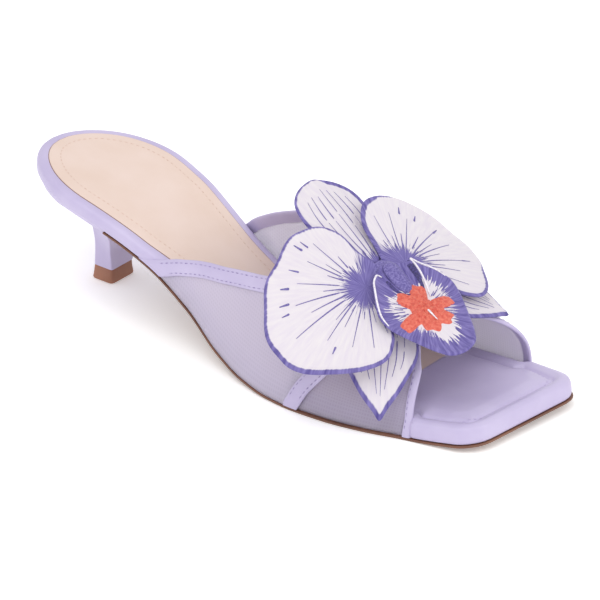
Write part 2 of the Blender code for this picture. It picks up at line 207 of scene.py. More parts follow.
# Lip
LIP_LAYER = 3.8
LIP_TURN = math.radians(-8.0)
LIP_MIDDLE = 24.0
LIP_HOLD, LIP_HOLD_POWER = 5.0, 1.5
LIP_LOBE = 4.0
LIP_LOBE_AT, LIP_LOBE_LENGTH, LIP_LOBE_REACH = 8.0, 11.0, 15.0
FOLD = 2.0
FOLD_ACROSS, FOLD_BEND, FOLD_WIDTH = 8.8, 0.006, 1.8
FOLD_AT, FOLD_LENGTH = 10.5, 9.0
LIP_TIP_BORDER = 1.4
LIP_TIP_FROM = (34.0, 48.0)
LIP_THROAT = 10.0
LIP_CORD_LIFT = 0.35
COLUMN_START = 1.5
COLUMN_LENGTH = 16.0
COLUMN_WIDTH = 8.4
COLUMN_HEIGHT = 2.4
COLUMN_LIFT = 4.6
COLUMN_TAPER = 0.28
COLUMN_BLUNTNESS = 0.6
KNOT_RADIUS = 6.4
KNOT_RISE = 1.6
KNOT_LIFT = 2.7
KNOT_FORWARD = 2.6

# Callus: a coral star on the lip, with stitches of two sizes and a pale ridge.
CALLUS_MIDDLE = Vector((28.5, -0.8, 0.0))
CALLUS_BODY = 5.6
CALLUS_LOBE_SPREAD = 20.0
CALLUS_HEIGHT = 1.4
CALLUS_SINK = 0.1
CALLUS_SHEET = 0.4
CALLUS_RAGGED, CALLUS_RAGS = 0.5, 9.0
RIDGE_START, RIDGE_LENGTH, RIDGE_WIDTH, RIDGE_LIFT = 30.5, 6.5, 0.9, 1.6


def table(kind, *rows):
    """Rows of numbers with the names of their columns."""
    return [kind(*row) for row in rows]


Station = namedtuple("Station", "x lateral medial bottom crest")
EdgeRow = namedtuple("EdgeRow", "inset height pad", defaults=(0.0,))
StrapRow = namedtuple("StrapRow", "around back front")
HeelRow = namedtuple("HeelRow", "rise back front half_width corner roundness seat")
Outline = namedtuple("Outline", "along across")
Lobe = namedtuple("Lobe", "degrees reach")
Knots = namedtuple("Knots", "height seed fineness")
Thread = namedtuple("Thread", "light dark twist")

# bottom is the height of the sole's underside, crest that of the instep line.
LAST = table(
    Station,
    (0, 28.3, 29.8, 45.2, 80.0),
    (18, 29.4, 31.0, 42.9, 79.0),
    (38, 29.8, 31.2, 39.4, 78.0),
    (55, 29.2, 29.2, 34.6, 77.0),
    (66, 28.7, 27.4, 30.6, 76.0),
    (75, 28.6, 26.2, 26.8, 75.0),
    (93, 30.0, 25.0, 17.0, 71.0),
    (113, 35.0, 25.3, 5.7, 66.0),
    (128, 39.3, 27.0, 1.6, 60.5),
    (143, 42.5, 30.3, 0.2, 54.0),
    (155, 43.4, 33.0, 0.0, 48.8),
    (170, 42.5, 35.8, 0.0, 42.4),
    (186, 39.4, 36.6, 0.0, 36.0),
    (203, 34.2, 36.4, 0.0, 30.6),
    (220, 30.9, 34.4, 1.3, 26.5),
    (238, 27.0, 30.8, 3.6, 26.0),
)

# Edge sections of the sole layers, from their undersides: pad is the share of the toe pad's extra height.
OUTSOLE_EDGE = table(EdgeRow, (0.4, 0.0), (0.1, 0.2), (0.0, 0.45), (0.0, 0.75), (0.15, OUTSOLE))
FOOTBED_EDGE = table(
    EdgeRow,
    (0.8, OUTSOLE + GAP, 0.0), (0.25, 1.5, 0.0), (0.0, 2.3, 0.1), (0.0, 3.5, 0.5), (0.15, 4.55, 0.8),
    (0.6, 5.4, 1.0), (1.4, 6.0, 1.0), (2.4, 6.33, 1.0), (3.4, 6.36, 1.0), (4.3, 6.2, 1.0), (5.0, 6.15, 1.0),
    (5.6, 6.15, 1.0), (6.3, 6.15, 1.0), (7.2, 6.17, 1.0), (8.5, 6.25, 1.0), (10.0, 6.35, 1.0),
)
SOCK_EDGE = table(
    EdgeRow,
    (6.0, 6.17), (SOCK_INSET + 0.15, 6.17), (SOCK_INSET, 6.27), (SOCK_INSET + 0.1, 6.45),
    (SOCK_INSET + 0.6, 6.6), (6.0, 6.66), (10.0, 6.8),
)

# around runs from 0 at the lateral edge of the sole over the instep to 1 at the medial edge.
OUTER_STRAP = table(
    StrapRow,
    (0.00, 69.0, 158.0), (0.036, 80.0, 161.1), (0.07, 86.7, 164.3), (0.103, 93.8, 167.2),
    (0.144, 103.4, 170.8), (0.18, 113.5, 174.5), (0.214, 123.6, 178.2), (0.241, 131.7, 181.0),
    (0.30, 145.0, 186.0), (0.40, 149.0, 190.0), (0.50, 152.0, 195.0), (0.65, 154.5, 204.5),
    (0.75, 156.0, 208.5), (0.85, 155.0, 210.5), (1.00, 152.0, 211.5),
)
INNER_STRAP = table(
    StrapRow,
    (0.00, 150.0, 204.5), (0.12, 154.0, 202.4), (0.23, 157.5, 200.0), (0.28, 157.5, 197.0),
    (0.36, 156.0, 192.5), (0.50, 152.0, 190.0), (0.60, 143.0, 188.0), (0.70, 126.5, 186.0),
    (0.806, 107.1, 177.0), (0.847, 100.1, 174.0), (0.886, 93.8, 170.5), (0.929, 87.5, 166.5),
    (0.975, 81.6, 161.0), (1.00, 78.0, 159.0),
)

# rise runs from 0 at the tip to 1 at the seat, corner is the half width at the front, and seat is how far the
# section has taken the footbed's outline.
HEEL_ROWS = table(
    HeelRow,
    (0.00, 28.0, 37.6, 6.7, 6.7, 8.0, 0.0),
    (0.22, 28.1, 38.2, 6.6, 8.4, 8.0, 0.0),
    (0.44, 27.2, 40.2, 7.4, 11.7, 7.0, 0.0),
    (0.60, 24.0, 42.3, 9.8, 16.0, 5.5, 0.05),
    (0.71, 18.5, 44.2, 14.2, 19.8, 4.2, 0.2),
    (0.80, 12.0, 46.3, 19.2, 22.6, 3.4, 0.5),
    (0.865, 6.0, 48.2, 23.0, 24.8, 3.0, 0.8),
    (0.915, 2.2, 49.6, 26.0, 26.6, 2.8, 1.0),
    (1.00, 1.0, 51.3, 26.6, 28.3, 2.8, 1.0),
)
# Heights on the wearing tip, and how far it spreads there beyond the heel's foot.
TIP_RINGS = ((0.0, -0.1), (0.25, 0.35), (0.7, 0.5), (3.0, 0.2), (5.6, 0.0), (TIP_HEIGHT, -0.2))

# Half outlines from the root of a sepal or the lip to its tip.
FRONT_SEPAL = table(
    Outline,
    (4.6, 0.0), (6.2, 3.4), (12.0, 8.0), (24.0, 13.4), (34.0, 14.4), (42.0, 9.2), (47.6, 3.0), (50.0, 0.0),
)
BACK_SEPAL = table(
    Outline,
    (4.6, 0.0), (6.2, 3.4), (12.0, 8.5), (22.0, 13.6), (32.0, 15.6), (40.0, 14.4), (45.5, 8.6), (47.8, 0.0),
)
LIP_OUTLINE = table(
    Outline,
    (0.0, 0.0), (3.0, 6.4), (8.0, 11.4), (15.0, 15.3), (21.0, 18.0), (27.0, 17.5), (34.0, 15.0), (41.0, 12.2),
    (48.0, 9.2), (53.5, 5.6), (55.5, 0.0),
)
# Whole outlines of the petals, forward along the flower and outward from its middle.
LATERAL_PETAL = table(
    Outline,
    (3.0, 0.8), (-10.2, 3.6), (-21.0, 4.8), (-28.2, 11.2), (-30.0, 20.6), (-28.0, 30.4), (-23.5, 41.4),
    (-15.5, 50.6), (-3.5, 55.4), (8.0, 53.0), (18.0, 46.0), (27.3, 37.2), (31.6, 28.6), (28.3, 21.2),
    (21.0, 15.5), (11.0, 7.2),
)
MEDIAL_PETAL = table(
    Outline,
    (2.9, 0.7), (-9.0, 3.6), (-18.9, 5.5), (-25.2, 11.8), (-27.0, 20.0), (-25.2, 28.2), (-20.7, 37.3),
    (-13.5, 44.6), (-2.7, 47.3), (7.7, 45.0), (17.3, 39.1), (26.9, 31.9), (31.2, 24.6), (27.8, 18.2),
    (20.2, 13.7), (10.6, 6.4),
)
# Lobes of the callus round its middle, 0 degrees pointing along the lip.
CALLUS_LOBES = table(
    Lobe,
    (5, 8.6), (31, 11.4), (60, 7.6), (90, 13.0), (158, 13.2), (182, 8.4), (207, 12.2), (284, 13.0),
    (313, 7.8), (343, 10.6),
)
CALLUS_KNOTS = table(Knots, (0.7, 0.0, 0.9), (0.6, 9.0, 1.9))
# Lines of thread on the lip, along and across it.
LATERAL_LIP_CORD = table(
    Outline,
    (6.2, -5.6), (4.6, -7.0), (7.4, -10.3), (12.0, -13.1), (17.0, -15.6), (22.0, -17.2), (27.0, -17.0),
)
MEDIAL_LIP_CORD = table(
    Outline,
    (18.5, 16.4), (14.5, 14.7), (10.0, 12.5), (6.4, 10.9), (4.4, 9.6), (9.2, 8.8), (13.5, 8.2), (17.2, 7.4),
    (21.0, 6.2), (24.0, 5.2),
)
# Painted shade: a dark line inset from the medial cord, beside the fold, and one round the column's tip.
FOLD_SHADOW_INSET = 1.5
FOLD_SHADOW = [Outline(row.along, row.across - FOLD_SHADOW_INSET) for row in MEDIAL_LIP_CORD[4:-1]]
COLUMN_SHADOW = table(Outline, (8.5, -4.9), (13.0, -4.6), (16.6, -3.4), (18.6, -1.2), (18.9, 1.4))

# Threads by name, each with the names of its two tones and the length of its twist.
THREADS = {
    "lilac_thread": Thread("stitch", "leather_shade", 0.8),
    "toned_thread": Thread("leather", "leather_shade", 0.8),
    "tan_thread": Thread("sock_stitch", "sock_shade", 0.8),
    "sock_edge_dye": Thread("sock_edge", "sole", 0.8),
    "violet_silk": Thread("violet", "violet_deep", 0.7),
    "deep_violet_silk": Thread("violet_dark", "violet_deep", 0.7),
    "coral_silk": Thread("coral", "coral_shade", 1.1),
    "white_silk": Thread("cord", "petal_shade", 0.9),
}

tip_low, tip_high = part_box("heel_top_piece")
ORIGIN = Vector(((tip_low.x + tip_high.x) / 2 - TIP_MIDDLE * MM, (tip_low.y + tip_high.y) / 2, 0.0))


def linear(code):
    """An sRGB hex colour as linear red, green, blue and alpha."""
    shares = [int(code[i : i + 2], 16) / 255 for i in (0, 2, 4)]
    return (*(c / 12.92 if c <= 0.04045 else ((c + 0.055) / 1.055) ** 2.4 for c in shares), 1.0)


def colour(name, code, description):
    """A colour that a user may change, from its hex code."""
    return FloatVectorProperty(
        name=name, description=description, default=linear(code), size=4, min=0.0, max=1.0, subtype="COLOR"
    )


def length(name, millimetres, description):
    """A length that a user may change."""
    return FloatProperty(
        name=name, description=description, default=millimetres * MM, min=0.0, precision=5, unit="LENGTH"
    )


def angle(name, degrees, description):
    """An angle that a user may change."""
    return FloatProperty(name=name, description=description, default=math.radians(degrees), subtype="ANGLE")


class MuleColours(bpy.types.PropertyGroup):
    """Colours of the mule's materials."""

    leather: colour("Leather", "C5BBDA", "Lilac leather of footbed, heel and bindings")
    leather_shade: colour("Leather shade", "B9AED1", "Darker tone that clouds the lilac leather")
    mesh: colour("Mesh", "CEC4DE", "Threads of the outer strap")
    mesh_gap: colour("Mesh gap", "C4BAD5", "Between the threads of the outer strap")
    mesh_under: colour("Under mesh", "C4BAD2", "Threads of the inner strap")
    mesh_under_gap: colour("Under mesh gap", "B9AEC8", "Between the threads of the inner strap")
    sole: colour("Sole", "7E5440", "Sealed brown edge of the leather sole")
    sole_dark: colour("Sole grain", "5F3A2B", "Dark grain of the leather sole")
    tip: colour("Tip", "A8745C", "Wearing tip of the heel")
    tip_dark: colour("Tip grain", "8E5E49", "Dark grain of the wearing tip")
    sock: colour("Sock", "E3CEC4", "Beige leather under the foot")
    sock_shade: colour("Sock shade", "DEC7BA", "Warmer tone that clouds the beige leather")
    sock_stitch: colour("Sock stitch", "D0B1A1", "Stitches of the sock")
    # Painted shade: the brown of the thin line along the sock's edge, which stands for the shadow in the gap
    # between the sock and the footbed's rim.
    sock_edge: colour("Sock edge", "8A6257", "Stained cut edge of the sock")
    stitch: colour("Stitch", "7A6AA2", "Thread of the bindings")
    petal: colour("Petal", "DFD9DD", "Cloth of petals and sepals")
    petal_shade: colour("Petal shade", "D7CFDA", "Streaks in the cloth of petals and sepals")
    violet: colour("Violet", "8378B7", "Light threads of embroidered borders and veins")
    violet_deep: colour("Deep violet", "4B3F88", "Dark threads of embroidered borders and veins")
    # Painted shade: the near-black violet of the threads that stand for the shadow beside the lip's fold and
    # round the column's tip.
    violet_dark: colour("Dark violet", "1E1748", "Threads in the creases of the lip")
    coral: colour("Coral", "E57660", "Callus on the lip")
    coral_shade: colour("Coral shade", "CC4838", "Thread shadows in the callus")
    cord: colour("Cord", "FBF8FD", "White cord along the lip")


class MuleSizes(bpy.types.PropertyGroup):
    """Sizes of the trim that a maker would choose."""

    stitch_length: length("Stitch", 1.5, "Length of one stitch")
    stitch_gap: length("Stitch gap", 0.9, "Space between two stitches")
    stitch_thread: length("Thread", 0.5, "Thickness of the sewing thread")
    mesh_sheet: length("Mesh", 0.4, "Thickness of the mesh")
    petal_sheet: length("Petal", 0.9, "Thickness of the embroidered cloth")
    petal_bead: length("Petal bead", 0.45, "Height of the stitched bead along a petal")
    toe_line: length("Toe line", 6.8, "Distance of the toe pad's seam from its edge")
    toe_groove: length("Toe groove", 0.9, "Depth of the toe pad's seam")
    sock_line: length("Sock line", 4.6, "Distance of the sock's stitches from its edge")
    cord_width: length("Cord", 0.8, "Thickness of the cord along the lip")


class MuleStage(bpy.types.PropertyGroup):
    """Camera and light."""

    azimuth: angle("Azimuth", 39.6, "Camera's turn round the shoe from its lateral side to its toe")
    elevation: angle("Elevation", 27.5, "Camera's height over the horizon")
    distance: length("Distance", 2200.0, "From the camera to the heel")
    lens: FloatProperty(name="Lens", description="Focal length", default=333.1, min=1.0, unit="CAMERA")
    key: FloatProperty(name="Key", description="Power of the large soft light", default=13.0, subtype="POWER")
    fill: FloatProperty(name="Fill", description="Power of the low front light", default=6.0, subtype="POWER")
    sky: FloatProperty(name="Sky", description="Strength of the even light all round", default=0.8, min=0.0)
    floor: colour("Floor", "FFFFFF", "Plain floor")
    glow: FloatProperty(name="Glow", description="Light that the floor gives", default=0.22, min=0.0)


def place(point):
    """A point in millimetres on the last, in metres in the frame."""
    return point * MM + ORIGIN


def smoothstep(x, start, end):
    """A smooth step from 0 at the start to 1 at the end."""
    u = min(max((x - start) / (end - start), 0.0), 1.0)
    return u * u * (3 - 2 * u)


def bell(x, middle, width):
    """A bell curve that is 1 high at its middle."""
    return math.exp(-(((x - middle) / width) ** 2))


def hermite(rows, key, column):
    """A monotone cubic through one column of a table, as a function of its key column."""
    xs = [getattr(row, key) for row in rows]
    ys = [getattr(row, column) for row in rows]
    slopes = [(ys[i + 1] - ys[i]) / (xs[i + 1] - xs[i]) for i in range(len(xs) - 1)]
    tangents = [slopes[0]]
    for before, after in zip(slopes, slopes[1:]):
        flat = before * after <= 0
        tangents.append(0.0 if flat else 2 * before * after / (before + after))
    tangents.append(slopes[-1])

    def value(x):
        x = min(max(x, xs[0]), xs[-1])
        i = max(k for k in range(len(xs) - 1) if xs[k] <= x)
        width = xs[i + 1] - xs[i]
        u = (x - xs[i]) / width
        shape = u * u * (3 - 2 * u)
        bend = u * (1 - u) * ((1 - u) * tangents[i] - u * tangents[i + 1]) * width
        return ys[i] + (ys[i + 1] - ys[i]) * shape + bend

    return value


lateral, medial, bottom, crest = (hermite(LAST, "x", column) for column in Station._fields[1:])


def rim(s, column):
    """How far the footbed's edge lies inside the outsole's, on either side."""
    start, end = RIM_STARTS[column > 0], RIM_ENDS[column > 0]
    return RIM * smoothstep(s, start, RIM_FULL) - (RIM - TOE_RIM) * smoothstep(s, end, end + RIM_RELEASE)


def spline(points, per_span, closed):
    """Points along a smooth curve through the given ones."""
    count = len(points)
    line = []
    for i in range(count if closed else count - 1):
        around = [i - 1, i, i + 1, i + 2]
        if closed:
            p0, p1, p2, p3 = (points[k % count] for k in around)
        else:
            p0, p1, p2, p3 = (points[min(max(k, 0), count - 1)] for k in around)
        for j in range(per_span):
            u = j / per_span
            line.append(
                0.5 * (2 * p1 + (p2 - p0) * u + (2 * p0 - 5 * p1 + 4 * p2 - p3) * u * u
                       + (3 * p1 - p0 - 3 * p2 + p3) * u**3)
            )
    return line if closed else line + [points[-1]]


def node(tree, kind, inputs=(), **settings):
    """Adds a node with its settings; an input is given a value or is linked to an output."""
    made = tree.nodes.new(kind)
    for name, value in settings.items():
        setattr(made, name, value)
    for key, value in dict(inputs).items():
        if isinstance(value, bpy.types.NodeSocket):
            tree.links.new(value, made.inputs[key])
        else:
            made.inputs[key].default_value = value
    return made


def blank(name, **sockets):
    """A new material with the given values on its shader, and what adds nodes to it."""
    made = bpy.data.materials.new(name)
    made.use_nodes = True
    shader = made.node_tree.nodes["Principled BSDF"]
    for socket, value in sockets.items():
        shader.inputs[socket.replace("_", " ")].default_value = value
    return made, partial(node, made.node_tree), shader.inputs


def dress(made, shader, colour, bump):
    """Gives a material's shader its colour and its bump."""
    made.node_tree.links.new(colour.outputs[2], shader["Base Color"])
    made.node_tree.links.new(bump.outputs[0], shader["Normal"])
    return made


def grained_leather(name, light, dark, roughness, grain, depth):
    """Dyed leather: a fine pebbled grain under a satin finish, with soft clouds of a second tone."""
    if name in bpy.data.materials:
        return bpy.data.materials[name]
    made, add, shader = blank(name, Roughness=roughness)
    where = add("ShaderNodeTexCoord").outputs["Object"]
    clouds = add("ShaderNodeTexNoise", {"Vector": where, "Scale": 1 / (CLOUD * MM), "Detail": 3.0})
    tone = add("ShaderNodeMapRange", {"Value": clouds.outputs["Fac"], "From Min": 0.35, "From Max": 0.7})
    mixed = add("ShaderNodeMix", {0: tone.outputs[0], 6: light, 7: dark}, data_type="RGBA")
    pebbles = add("ShaderNodeTexVoronoi", {"Vector": where, "Scale": 1 / (grain * MM)}).outputs["Distance"]
    bump = add("ShaderNodeBump", {"Height": pebbles, "Strength": depth, "Distance": 0.15 * MM})
    return dress(made, shader, mixed, bump)


def lilac_nappa(colours):
    """Nappa: smooth drum-dyed lambskin with a satin sheen. Its grain of 0.3 mm is drawn at 0.9 mm to show."""
    tones = (colours.leather, colours.leather_shade)
    return grained_leather("lilac_nappa", *tones, roughness=0.38, grain=0.9, depth=0.12)


def sock_leather(colours):
    """Unsealed pigskin lining: matt, warm beige. Its pores of 0.3 mm are drawn at 0.8 mm to show."""
    tones = (colours.sock, colours.sock_shade)
    return grained_leather("beige_lining_leather", *tones, roughness=0.62, grain=0.8, depth=0.1)


def sole_leather(colours):
    """Vegetable-tanned sole leather, its edge sanded, dyed brown and waxed: dark, with a dull shine.

    Its fibres of 0.3 mm are drawn as a grain of 1.2 mm to show.
    """
    tones = (colours.sole, colours.sole_dark)
    return grained_leather("waxed_sole_leather", *tones, roughness=0.5, grain=1.2, depth=0.25)


def tip_rubber(colours):
    """Moulded rubber top piece: brown and dull. Its even grain of 0.2 mm is drawn at 1 mm to show."""
    tones = (colours.tip, colours.tip_dark)
    return grained_leather("moulded_tip_rubber", *tones, roughness=0.55, grain=1.0, depth=0.15)


def strap_mesh(name, threads, gaps, opacity):
    """Nylon mesh: sheer, matt, with a weave of 0.4 mm that is drawn at 1.1 mm to show."""
    made, add, shader = blank(name, Roughness=0.75, Alpha=opacity, Subsurface_Weight=0.6,
                              Subsurface_Radius=(1.0, 1.0, 1.0), Subsurface_Scale=3 * MM)
    cloth = add("ShaderNodeAttribute", attribute_name="cloth").outputs["Vector"]
    # A wave texture has ten bands in a length of pi at scale 1, and the cloth's places are millimetres.
    bands = {"Vector": cloth, "Scale": math.pi / (10 * WEAVE)}
    warp, weft = (add("ShaderNodeTexWave", bands, bands_direction=axis).outputs["Fac"] for axis in ("X", "Y"))
    weave = add("ShaderNodeMath", {0: warp, 1: weft}, operation="MAXIMUM").outputs[0]
    mixed = add("ShaderNodeMix", {0: weave, 6: gaps, 7: threads}, data_type="RGBA")
    bump = add("ShaderNodeBump", {"Height": weave, "Strength": 0.1, "Distance": 0.1 * MM})
    return dress(made, shader, mixed, bump)


def thread(name, colours):
    """Sewing or embroidery thread: twisted polyester with a soft silky sheen, its strands in two tones.

    Its twist of about 0.4 mm is drawn at 0.7 to 1.1 mm to show.
    """
    if name in bpy.data.materials:
        return bpy.data.materials[name]
    kind = THREADS[name]
    light, dark = getattr(colours, kind.light), getattr(colours, kind.dark)
    made, add, shader = blank(name, Roughness=0.5, Sheen_Weight=0.2)
    where = add("ShaderNodeTexCoord").outputs["Object"]
    twist = {"Vector": where, "Scale": 1 / (kind.twist * MM), "Detail": 2.0}
    strands = add("ShaderNodeTexNoise", twist).outputs["Fac"]
    shade = add("ShaderNodeMapRange", {"Value": strands, "From Min": 0.3, "From Max": 0.7}).outputs[0]
    mixed = add("ShaderNodeMix", {0: shade, 6: light, 7: dark}, data_type="RGBA")
    bump = add("ShaderNodeBump", {"Height": strands, "Strength": 0.3, "Distance": 0.2 * MM})
    return dress(made, shader, mixed, bump)


def embroidery(name, colours, heart, feather, border, soft):
    """Satin-stitched cloth: pale silk threads that fan out from a violet heart to a violet border.

    heart and border are in millimetres; feather is how far thread ends run over the heart's edge, soft over
    the border's. The threads of 0.3 mm are drawn about 0.6 mm wide to show.
    """
    made, add, shader = blank(name, Roughness=0.6, Sheen_Weight=0.1)
    cloth = add("ShaderNodeAttribute", attribute_name="cloth").outputs["Vector"]
    along, across, edge = add("ShaderNodeSeparateXYZ", {0: cloth}).outputs
    flat = add("ShaderNodeCombineXYZ", {0: along, 1: across}).outputs[0]
    reach = add("ShaderNodeVectorMath", {0: flat}, operation="LENGTH").outputs["Value"]
    way = add("ShaderNodeVectorMath", {0: flat}, operation="NORMALIZE").outputs[0]
    stretch = add("ShaderNodeMath", {0: reach, 1: FAN_STRETCH}, operation="MULTIPLY").outputs[0]
    lengthwise = add("ShaderNodeCombineXYZ", {2: stretch}).outputs[0]
    fan = add("ShaderNodeVectorMath", {0: way, 1: lengthwise}, operation="ADD").outputs[0]
    streaks = add("ShaderNodeTexNoise", {"Vector": fan, "Scale": FAN_THREADS, "Detail": 4.0}).outputs["Fac"]
    ends = add("ShaderNodeMapRange", {"Value": streaks, "From Min": 0.3, "From Max": 0.7}).outputs[0]
    dyed = []
    inner, outer = (reach, feather, heart, HEART_FADE), (edge, soft, border, BORDER_FADE)
    for inset, fringe, start, fade in (inner, outer):
        grown = add("ShaderNodeMath", {0: ends, 1: -fringe, 2: inset}, operation="MULTIPLY_ADD").outputs[0]
        limits = {"From Min": start, "From Max": start + fade, "To Min": 1.0, "To Max": 0.0}
        dyed.append(add("ShaderNodeMapRange", {"Value": grown, **limits}).outputs[0])
    either = add("ShaderNodeMath", {0: dyed[0], 1: dyed[1]}, operation="MAXIMUM").outputs[0]
    pale = add("ShaderNodeMix", {0: ends, 6: colours.petal, 7: colours.petal_shade}, data_type="RGBA")
    violet = add("ShaderNodeMix", {0: ends, 6: colours.violet, 7: colours.violet_deep}, data_type="RGBA")
    mixed = add("ShaderNodeMix", {0: either, 6: pale.outputs[2], 7: violet.outputs[2]}, data_type="RGBA")
    bump = add("ShaderNodeBump", {"Height": streaks, "Strength": 0.15, "Distance": 0.25 * MM})
    return dress(made, shader, mixed, bump)


def new_mesh():
    """A mesh whose vertices carry a place on the cloth, in millimetres."""
    bm = bmesh.new()
    bm.verts.layers.float_vector.new("cloth")
    return bm


def grid(bm, columns, rows, shape, cloth=None):
    """Adds a grid and moves its vertices by a surface function of two shares, each from 0 to 1."""
    layer = bm.verts.layers.float_vector["cloth"]
    made = bmesh.ops.create_grid(bm, x_segments=columns, y_segments=rows, size=0.5)["verts"]
    for vert in made:
        u, v = vert.co.x + 0.5, vert.co.y + 0.5
        vert.co = place(shape(u, v))
        if cloth:
            vert[layer] = cloth(u, v)


def piece(name, bm, material, slot, replaced, sharp=40.0, closed=True, sheet=0.0):
    """Makes a finished piece of a mesh, which rides on the shoe and stands for a node of the frame."""
    bmesh.ops.remove_doubles(bm, verts=bm.verts, dist=MERGE)
    bmesh.ops.dissolve_degenerate(bm, edges=bm.edges, dist=MERGE)
    if closed:
        bmesh.ops.holes_fill(bm, edges=[e for e in bm.edges if e.is_boundary])
        bmesh.ops.recalc_face_normals(bm, faces=bm.faces)
    else:
        bm.normal_update()
        if sum(face.normal.z for face in bm.faces) < 0:
            bmesh.ops.reverse_faces(bm, faces=bm.faces)
    mesh = bpy.data.meshes.new(name)
    bm.to_mesh(mesh)
    bm.free()
    mesh.polygons.foreach_set("use_smooth", [True] * len(mesh.polygons))
    mesh.set_sharp_from_angle(angle=math.radians(sharp))
    made = bpy.data.objects.new(name, mesh)
    bpy.context.scene.collection.objects.link(made)
    mesh.materials.append(material)
    if sheet:
        shell = made.modifiers.new("sheet", "SOLIDIFY")
        shell.thickness = sheet
        shell.offset = -1.0
    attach(made, "root")
    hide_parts(replaced)
    return made


def stitch_row(bm, path, sizes):
    """Adds rounded stitches end to end along a path of points and surface normals."""
    pitch = (sizes.stitch_length + sizes.stitch_gap) / MM
    thick = sizes.stitch_thread / MM
    walked = 0.0
    for (start, normal), (end, _) in zip(path, path[1:]):
        step = (end - start).length
        while walked < step:
            along = (end - start).normalized()
            side = along.cross(normal).normalized()
            up = side.cross(along)
            axes = (side * thick * 0.5, up * thick * STITCH_FLATNESS, along * sizes.stitch_length / MM * 0.5)
            turn = Matrix([axis * MM for axis in axes]).transposed().to_4x4()
            turn.translation = place(start + along * walked)
            bmesh.ops.create_uvsphere(bm, u_segments=6, v_segments=4, radius=1.0, matrix=turn)
            walked += pitch
        walked -= step


def cord(bm, line, radius, sides=8):
    """Adds a round cord along a line of points, thinner at its ends."""
    count = len(line) - 1

    def shape(u, v):
        i = round(u * count)
        way = (line[min(i + 1, count)] - line[max(i - 1, 0)]).normalized()
        side = way.cross(UP).normalized()
        turn = 2 * math.pi * round(v * sides) / sides
        thin = radius * min(1.0, CORD_END + CORD_TAPER * min(u, 1 - u))
        return line[i] + (side * math.cos(turn) + side.cross(way) * math.sin(turn)) * thin

    grid(bm, count, sides, shape)


def slope_at(x):
    """The sole's slope, over one millimetre of its length."""
    return math.atan(bottom(x + 0.5) - bottom(x - 0.5))


def above_sole(x, y, height):
    """The point at a height measured square to the sole's bottom line."""
    lean = slope_at(x)
    return Vector((x - height * math.sin(lean), y, bottom(x) + height * math.cos(lean)))


def end_rounding(s, width, heel, toe):
    """How much of a half width is left at a station near a rounded end."""
    if heel and s < HEEL_ROUND:
        return width * math.sqrt(1 - (1 - s / HEEL_ROUND) ** 2)
    left = TOE_END - s
    if toe and left < TOE_CORNER:
        return width - TOE_CORNER + math.sqrt(TOE_CORNER**2 - (TOE_CORNER - left) ** 2)
    return width


def toe_share(s):
    """How far a station lies into the toe's corners, from 0 to 1."""
    return max(s - TOE_END + 2 * TOE_CORNER, 0.0) / (2 * TOE_CORNER)


def layer_point(s, column, row, border, heel, toe):
    """A point of a sole layer: column runs from -1 at its lateral edge to 1 at its medial edge."""
    width = lateral(s) if column < 0 else medial(s)
    y = column * end_rounding(s, width, heel, toe) * (1 - (row.inset + border(s, column)) / width)
    head = (row.inset + border(0.0, column)) * max(1 - s / HEEL_ROUND, 0.0) if heel else 0.0
    tail = (row.inset + border(TOE_END, column)) * toe_share(s) if toe else 0.0
    slant = TOE_SLANT * smoothstep(s, TOE_SLANT_START, TOE_END)
    return above_sole(s + head - tail + slant * y, y, row.height)


def even(start, end, step):
    """Values from start to end, about a step apart."""
    count = round((end - start) / step)
    return [start + (end - start) * i / count for i in range(count + 1)]


def sole_stations(start, end, fine_from=None):
    """Stations along a sole layer, close together round the heel and the toe corners."""
    corner = TOE_END - TOE_CORNER
    heel_end = [HEEL_ROUND * (1 - math.cos(math.radians(d))) for d in range(0, 90, 5)]
    middle = even(HEEL_ROUND, corner, STATION_STEP)
    if fine_from:
        middle = [s for s in middle if s < fine_from] + even(fine_from, corner, FINE_STEP)
    toe_end = [TOE_END - TOE_CORNER * (1 - math.sin(math.radians(d))) for d in range(8, 88, 8)]
    inside = [s for s in heel_end + middle + toe_end if start + STATION_GAP < s < end - STATION_GAP]
    return [start] + inside + [end]


def layer(bm, stations, edge, columns, border, heel=False, toe=False, relief=None):
    """A sole layer: a grid of stations by sections, closed by a grid at each straight end."""
    rows = [EdgeRow(*p) for p in spline([Vector(r) for r in edge], per_span=3, closed=False)]
    spread = [-1 + 2 * i / columns for i in range(columns + 1)]
    ring = [(rows[0], c) for c in spread[::-1]] + [(r, -1.0) for r in rows[1:-1]]
    ring += [(rows[-1], c) for c in spread] + [(r, 1.0) for r in rows[-2::-1]]
    high = len(rows) - 1

    def at(s, row, column):
        point = layer_point(s, column, row, border, heel, toe)
        return point + UP * relief(s, column, row) if relief else point

    def section(u, v):
        row, column = ring[round(v * (len(ring) - 1))]
        return at(stations[round(u * (len(stations) - 1))], row, column)

    grid(bm, len(stations) - 1, len(ring) - 1, section)
    for s in ([] if heel else [stations[0]]) + [stations[-1]]:
        grid(bm, columns, high, lambda u, v: at(s, rows[round(v * high)], spread[round(u * columns)]))


def pad_inset(s, column, row):
    """About how far a point of the toe pad lies inside the pad's edge, which has round corners."""
    width = lateral(s) if column < 0 else medial(s)
    y = abs(column) * end_rounding(s, width, False, True) * (1 - (row.inset + rim(s, column)) / width)
    side = width - rim(s, column) - y
    front = TOE_END - s + row.inset * toe_share(s)
    if side < TOE_CORNER and front < TOE_CORNER:
        return TOE_CORNER - math.hypot(TOE_CORNER - side, TOE_CORNER - front)
    return min(side, front)


def squared(k, count, power):
    """Cosine and sine of step k of a half turn, squared off by a power below 1."""
    turn = math.pi * k / count
    reach = math.copysign(abs(math.cos(turn)) ** power, math.cos(turn))
    return reach, math.sin(turn) ** power if 0 < k < count else 0.0


